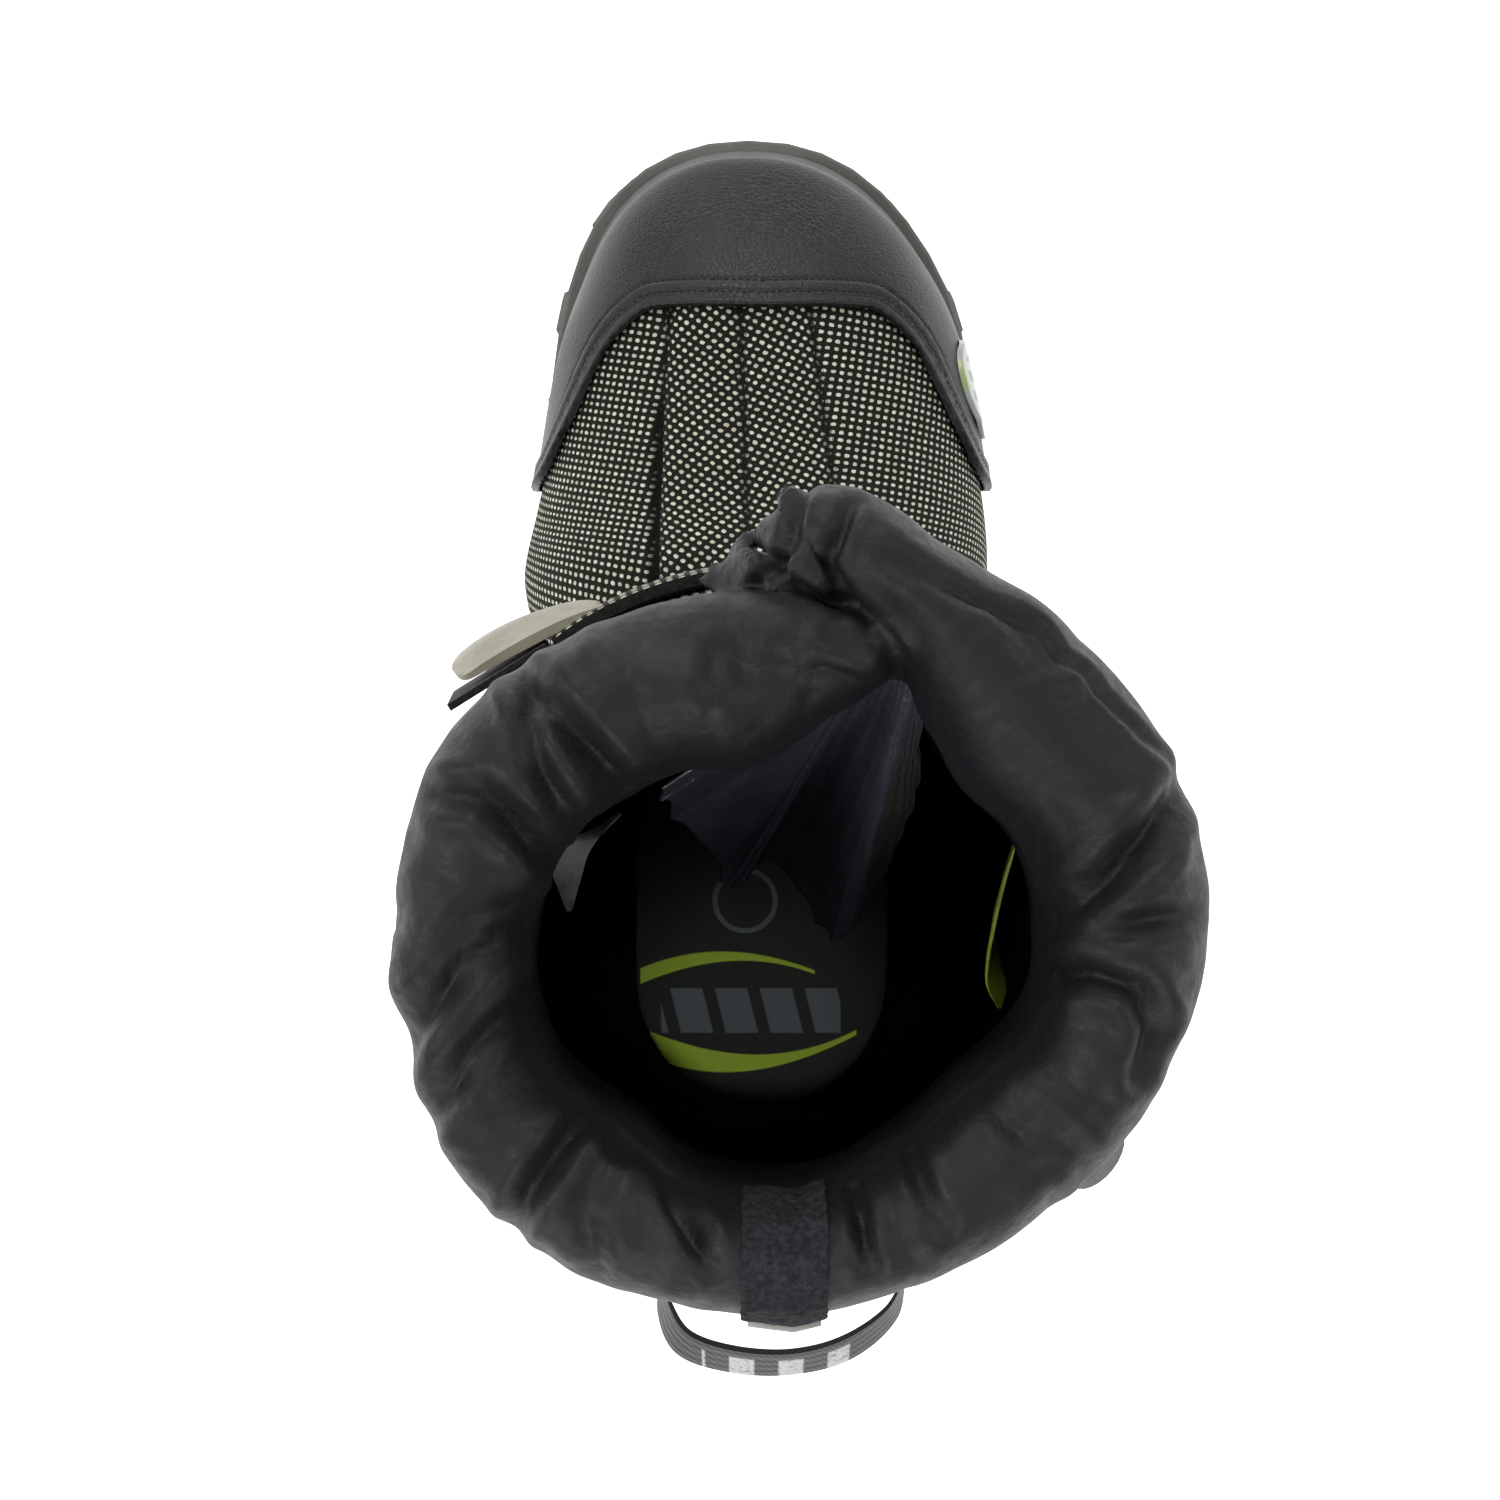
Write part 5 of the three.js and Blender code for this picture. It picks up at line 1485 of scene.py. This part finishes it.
    def build(self, frame: dict) -> None:
        """Builds the roll, then its tape and patch."""
        turn = np.radians(np.linspace(self.rings[0][0], self.rings[-1][0], self.steps))
        lines = self.rounded_line(self.section(turn), 6)
        share = np.linspace(0, 1, self.steps)
        close = np.clip(np.minimum(share, 1 - share) / 0.016, 0, 1)
        scale = np.sqrt(1 - (1 - close) ** 2)[:, None, None]
        middle = lines.mean(axis=1, keepdims=True)
        lines = middle + (lines - middle) * scale
        points, faces = [lines.reshape(-1, 3)], capped(*lines.shape[:2])
        for radius, line in self.knots:
            start = sum(len(part) for part in points)
            spots, sides = tube(line, radius)
            points.append(spots)
            faces += [tuple(start + n for n in side) for side in sides]
        piece = remeshed(solid("collar_roll", np.concatenate(points), faces), self.skin, 2)
        self.crease(piece)
        self.lay_lines(piece)
        nylon = Nylon("roll_nylon", (0.0085, 0.0088, 0.0112), 0.55)
        dress(piece, [nylon.material()], 180, "roll_nylon", "collar")
        tape = remeshed(from_node(frame, "back_tape", "back_tape_felt"), 0.6, 5)
        spots, out = places(tape.data), normals(tape.data)
        set_places(tape.data, spots + out * (0.45 * ripple(spots, 2.2, 3.0) - 0.1)[:, None])
        felt = Felt("tape_felt", (0.0155, 0.0158, 0.018), 2.4, 700.0, 0.5, 0.0)
        dress(tape, [felt.material()], 180, "webbing", "back_tape")
        patch = rounded(from_node(frame, "back_patch", "back_patch_pale"), 0.3)
        pale = Moulded("patch_pale", (0.5, 0.49, 0.46), 0.4, 0.5)
        dress(patch, [pale.material()], 50, "patch_reflective", "back_patch")


@dataclass
class Gusset:
    """The thin nylon of the front opening: a fan of folds hung inside from where the roll's ends meet."""

    thickness: float = 0.7
    down: int = 80
    parts: int = 26
    # For each line of the fan: its upper end, its lower end, how far it sags and how deep it is folded.
    lines: Rows = (
        (0, 16, 91, 309, -23, 66, 288, 2, 0.5), (1, 18, 91.5, 311, -20, 60, 270, 6, 0.9),
        (2, 20, 92, 313, -11, 47, 248, 10, 1.1), (3, 22, 92.5, 315, -6, 43.5, 243, 10, 1.0),
        (4, 24, 92.5, 316, 2, 50, 224, 16, 0.9), (5, 26, 92.5, 317, 9, 39, 228, 12, 0.6),
        (6, 28, 92, 317, 15.8, 30.5, 238, 4, 0.5), (7, 30, 91, 317, 20, 33, 242, 1, 0.2),
        (8, 31, 90, 316, 26.5, 44.5, 250, 1, 0.2), (9, 32, 88, 314, 31, 57, 262, 3, 0.5),
        (10, 33, 86, 312, 34, 68, 272, 4, 0.6),
    )

    def build(self) -> None:
        """Builds the folded sheet."""
        last = self.lines[-1][0]
        at = np.linspace(0, last, last * self.parts + 1)
        top, low = (
            np.stack([smooth(self.lines, column, at) for column in columns], axis=1)[:, None, :]
            for columns in ((1, 2, 3), (4, 5, 6))
        )
        sag, fold = (smooth(self.lines, column, at)[:, None] for column in (7, 8))
        share = np.linspace(0, 1, self.down)[None, :]
        points = top + (low - top) * share[:, :, None]
        points[:, :, 2] -= sag * np.sin(math.pi * share)
        run = at[:, None]
        sharp = np.abs(np.sin(math.pi * (1.25 * run + 0.35 * np.sin(2.1 * run) + 0.5 * share))) ** 0.8
        fine = np.sin(math.tau * (1.7 * run + 0.3 * np.sin(3.7 * share + run)))
        deep = fold * (0.5 + 4.6 * share)
        points[:, :, 2] += deep * (1.1 * sharp - 0.6) + 0.2 * fold * fine
        points[:, :, 1] += 0.45 * deep * (sharp - 0.5)
        points[:, :, 0] += 0.45 * deep * (sharp - 0.5)
        rows, columns = points.shape[:2]
        flat = points.reshape(-1, 3)
        flat = flat + ripple(flat, 7, 3.3)[:, None] * (0.5, 0.5, 0.9)
        piece = surface("gusset_folds", flat, grid_faces(rows, columns))
        point, _ = corners(piece.data)
        laid = np.stack([np.repeat(at * 6.0, columns), np.tile(share[0] * 75.0, rows)], axis=1)
        map_corners(piece, laid[point])
        if normals(piece.data)[:, 2].mean() < 0:
            piece.data.flip_normals()
        thickened(piece, self.thickness)
        nylon = Nylon("gusset_nylon", (0.04, 0.042, 0.056), 0.36, crumple=0.3, gloss=1.0)
        dress(piece, [nylon.material()], 180, "gusset_nylon", "gusset")


@dataclass
class FrontFlap:
    """The woven flap over the shaft's front, its pale pull end and the hook strip under it."""

    pull: Rows = (
        (0, -35.5, 105.4, 291, -36.5, 107.6, 272), (0.3, -44, 101.6, 292, -43.5, 107, 268),
        (0.6, -53, 97, 292, -54, 104, 266), (0.82, -60.5, 92.8, 291, -62.4, 100, 267),
        (0.93, -64.6, 90.6, 289, -67.4, 96.4, 269), (0.98, -66.8, 91, 286, -69.2, 94, 272),
        (1, -68, 91.8, 281, -69.2, 92.8, 276),
    )
    seat: float = 0.3
    thickness: float = 3.6
    low: float = 150.0
    high: float = 297.0
    turns: tuple[float, float] = (52.0, 132.0)
    pitch: float = 2.55
    girth: float = 76.0
    edge: float = 3.0
    hem: float = 1.2
    wall: float = 1.1
    felt_top: float = 8.0

    def build(self, frame: dict) -> None:
        """Builds the flap, the pull end and the hook strip."""
        z = np.linspace(self.low, self.high, 74)[:, None]
        turn = np.radians(np.linspace(*self.turns, 70))[None, :]
        share = z / SHAFT.top
        ends = np.minimum(np.minimum(z - self.low, self.high - z) / self.edge, 1)
        sides = np.minimum(np.minimum(turn - turn.min(), turn.max() - turn) * 72 / self.edge, 1)
        rim = np.sqrt(np.clip(1 - (1 - np.minimum(ends, sides)) ** 2, 0, 1))
        grown = self.seat + self.hem + (self.thickness - self.hem) * rim
        radius = SHAFT.radius(share, turn) + grown
        points = SHAFT.point(share, turn, radius, z)
        rows, columns = points.shape[:2]
        flat = points.reshape(-1, 3)
        flat += 0.5 * ripple(flat, 30, 5.5)[:, None] * np.array((0, 0.6, 0))
        piece = surface("front_flap_woven", flat, grid_faces(rows, columns))
        mesh = piece.data
        laid = np.stack(np.broadcast_arrays(turn * self.girth, z), axis=2).reshape(-1, 2)
        point, _ = corners(mesh)
        map_corners(piece, laid[point] / self.pitch)
        edge = np.broadcast_to(1 - step(np.minimum(ends, sides), 0.3, 0.6), (rows, columns))
        mark(mesh, "seam", edge.ravel())
        if normals(mesh)[:, 1].mean() < 0:
            mesh.flip_normals()
        thickened(piece, self.wall, 1)
        for side in piece.data.polygons:
            if side.normal.z > 0.45 and side.center.z > (self.high - self.felt_top) * MM:
                side.material_index = 1
        felt = Felt("flap_felt", (0.004, 0.004, 0.0038), 3.0, 800.0, 0.6, 0.0)
        dress(piece, [bpy.data.materials["tweed_weave"], felt.material()], 70, "tweed", "front_flap")
        tab = ribbon("flap_pull_end", self.pull, 2.2, 11, 80, 1.5)
        cream = Moulded("pull_end_cream", (0.34, 0.325, 0.25), 0.55, 0.3, gloss=0.3)
        dress(tab, [cream.material()], 70, "tab_plastic", "flap_tab")
        strip = rounded(from_node(frame, "hook_strip", "hook_strip_black"), 0.3)
        hooks = Felt("hook_tape", (0.008, 0.008, 0.008), 3.0, 900.0, 0.6, 0.2)
        dress(strip, [hooks.material()], 50, "hook_cloth", "hook_strip")


@dataclass
class Sole:
    """The moulded rubber cup sole and the printed foot bed."""

    edge: float = 0.55

    def build(self, frame: dict) -> None:
        """Dresses the sole and the foot bed."""
        sole = rounded(from_node(frame, "outsole", "outsole_rubber"), self.edge)
        dress(sole, [Rubber().material()], 40, "sole_rubber", "outsole")
        bed = rounded(from_node(frame, "insole", "insole_printed"), 0.6)
        dress(bed, [InsolePrint().material()], 45, "insole_cloth", "insole")


@dataclass
class Trim:
    """The small pieces: pull loop, side ring, inner tab and inner label."""

    loop: Rows = (
        (0, -21.5, -36, 300, -22.5, -37, 287), (0.12, -20.2, -42.4, 299, -23, -46.4, 288),
        (0.28, -16, -48.4, 299, -18.8, -54.8, 288.5), (0.45, -6.3, -51.6, 299, -7.2, -58.6, 288.5),
        (0.6, 5, -52.2, 299, 5.6, -59, 288.5), (0.76, 16, -49.4, 299, 18.4, -55.6, 288.5),
        (0.9, 25.2, -43.2, 299, 28, -47.2, 288), (1, 29.2, -36, 300, 30, -37, 288),
    )
    lime: Rows = (
        (0, 56.2, 53, 262, 59.2, 54, 232), (0.3, 53.6, 44, 261, 56.8, 45, 231),
        (0.6, 51.2, 32.5, 259, 53.6, 33, 236), (0.75, 50.6, 27, 256, 54.2, 26.5, 244),
        (0.88, 50.8, 21, 252, 55.6, 20, 246), (1, 53.6, 15.5, 248, 54.4, 15.2, 247.5),
    )
    label: Rows = (
        (0, -30.5, 61.6, 300, -31.2, 61.8, 299), (0.3, -34.6, 57.4, 299.5, -37.5, 57.8, 298),
        (0.5, -37.6, 53.4, 298.5, -46.8, 53.6, 302), (0.7, -39.2, 48.6, 297, -45.2, 48.4, 299),
        (1, -41.6, 40.6, 293, -42.6, 40.4, 293.5),
    )

    def build(self, frame: dict) -> None:
        """Dresses each small piece."""
        loop = ribbon("pull_loop_webbing", self.loop, 1.3, 9, 90)
        dress(loop, [Webbing().material()], 50, "webbing", "pull_loop")
        ring = rounded(from_node(frame, "side_ring", "side_ring_moulded"), 0.7, 3)
        grey = Moulded("ring_grey", (0.33, 0.33, 0.32), 0.25, 0.3, 0.3)
        dress(ring, [grey.material()], 60, "ring_plastic", "side_ring")
        tab = ribbon("inner_tab_lime", self.lime, 0.8, 9, 90)
        lime = Moulded("lime_gloss", (0.5, 0.7, 0.07), 0.25, 0.6, 0.4)
        dress(tab, [lime.material()], 60, "lime_plastic", "inner_tab")
        label = ribbon("inner_label_clear", self.label, 0.5, 11, 60)
        clear = Moulded("label_grey", (0.12, 0.13, 0.14), 0.25, 0.85, 0.5)
        dress(label, [clear.material()], 60, "label_plastic", "inner_label")


@dataclass
class Studio:
    """The floor, the soft light and the camera straight over the shoe."""

    eye: tuple[float, float, float] = (-0.0035, 0.075, 0.862)
    sensor: float = 36.0
    lens: float = 63.888
    floor: float = 6.0
    sky: float = 0.3
    aim: tuple[float, float, float] = (0.0, 0.08, 0.15)
    # Each soft lamp: its name, place, size and power.
    lamps: tuple[tuple[str, tuple[float, float, float], float, float], ...] = (
        ("soft_toe", (-0.1, 1.25, 1.0), 0.6, 6.5),
        ("soft_right", (1.1, 0.2, 1.0), 0.8, 5.0),
        ("soft_left", (-1.1, 0.1, 1.2), 0.8, 9.0),
        ("soft_heel", (-0.1, -1.1, 1.0), 0.8, 8.0),
    )
    beam: tuple[float, float, float] = (-0.003, 0.05, 1.5)
    beam_aim: tuple[float, float, float] = (-0.003, -0.014, 0.03)
    beam_watts: float = 12.0
    beam_angle: float = 4.7

    def lamp(self, name: str, kind: str, spot: tuple[float, float, float], aim: tuple[float, float, float],
             watts: float) -> bpy.types.Light:
        """Adds a light that points at its aim."""
        light = bpy.data.lights.new(name, kind)
        light.energy = watts
        carrier = linked(name, light)
        carrier.location = spot
        carrier.rotation_euler = (Vector(aim) - Vector(spot)).to_track_quat("-Z", "Y").to_euler()
        return light

    def build(self) -> None:
        """Builds the floor, the lights and the camera."""
        half = self.floor / 2 / MM
        square = [(-half, -half, 0), (half, -half, 0), (half, half, 0), (-half, half, 0)]
        ground = surface("studio_floor", square, [(0, 1, 2, 3)])
        ground.data.materials.append(Floor().material())
        sky = bpy.data.worlds.new("studio_sky")
        bpy.context.scene.world = sky
        sky.use_nodes = True
        sky.node_tree.nodes["Background"].inputs[0].default_value = (1, 1, 1, 1)
        sky.node_tree.nodes["Background"].inputs[1].default_value = self.sky
        for name, spot, size, watts in self.lamps:
            light = self.lamp(name, "AREA", spot, self.aim, watts)
            light.shape = "DISK"
            light.size = size
        beam = self.lamp("into_the_shaft", "SPOT", self.beam, self.beam_aim, self.beam_watts)
        beam.spot_size = math.radians(self.beam_angle)
        beam.spot_blend = 0.8
        beam.shadow_soft_size = 0.02
        view = bpy.data.cameras.new("photo_view")
        view.sensor_width = self.sensor
        view.lens = self.lens
        eye = linked("photo_view", view)
        eye.location = self.eye
        bpy.context.scene.camera = eye
        bpy.context.scene.view_settings.view_transform = "Standard"


def main() -> None:
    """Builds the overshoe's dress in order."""
    logging.basicConfig(level=logging.INFO, format="%(message)s")
    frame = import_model()
    Studio().build()
    Sole().build(frame)
    Upper().build()
    ToeCap().build(frame)
    FrontFlap().build(frame)
    Collar().build(frame)
    Gusset().build()
    Trim().build(frame)


if __name__ == "__main__":
    main()
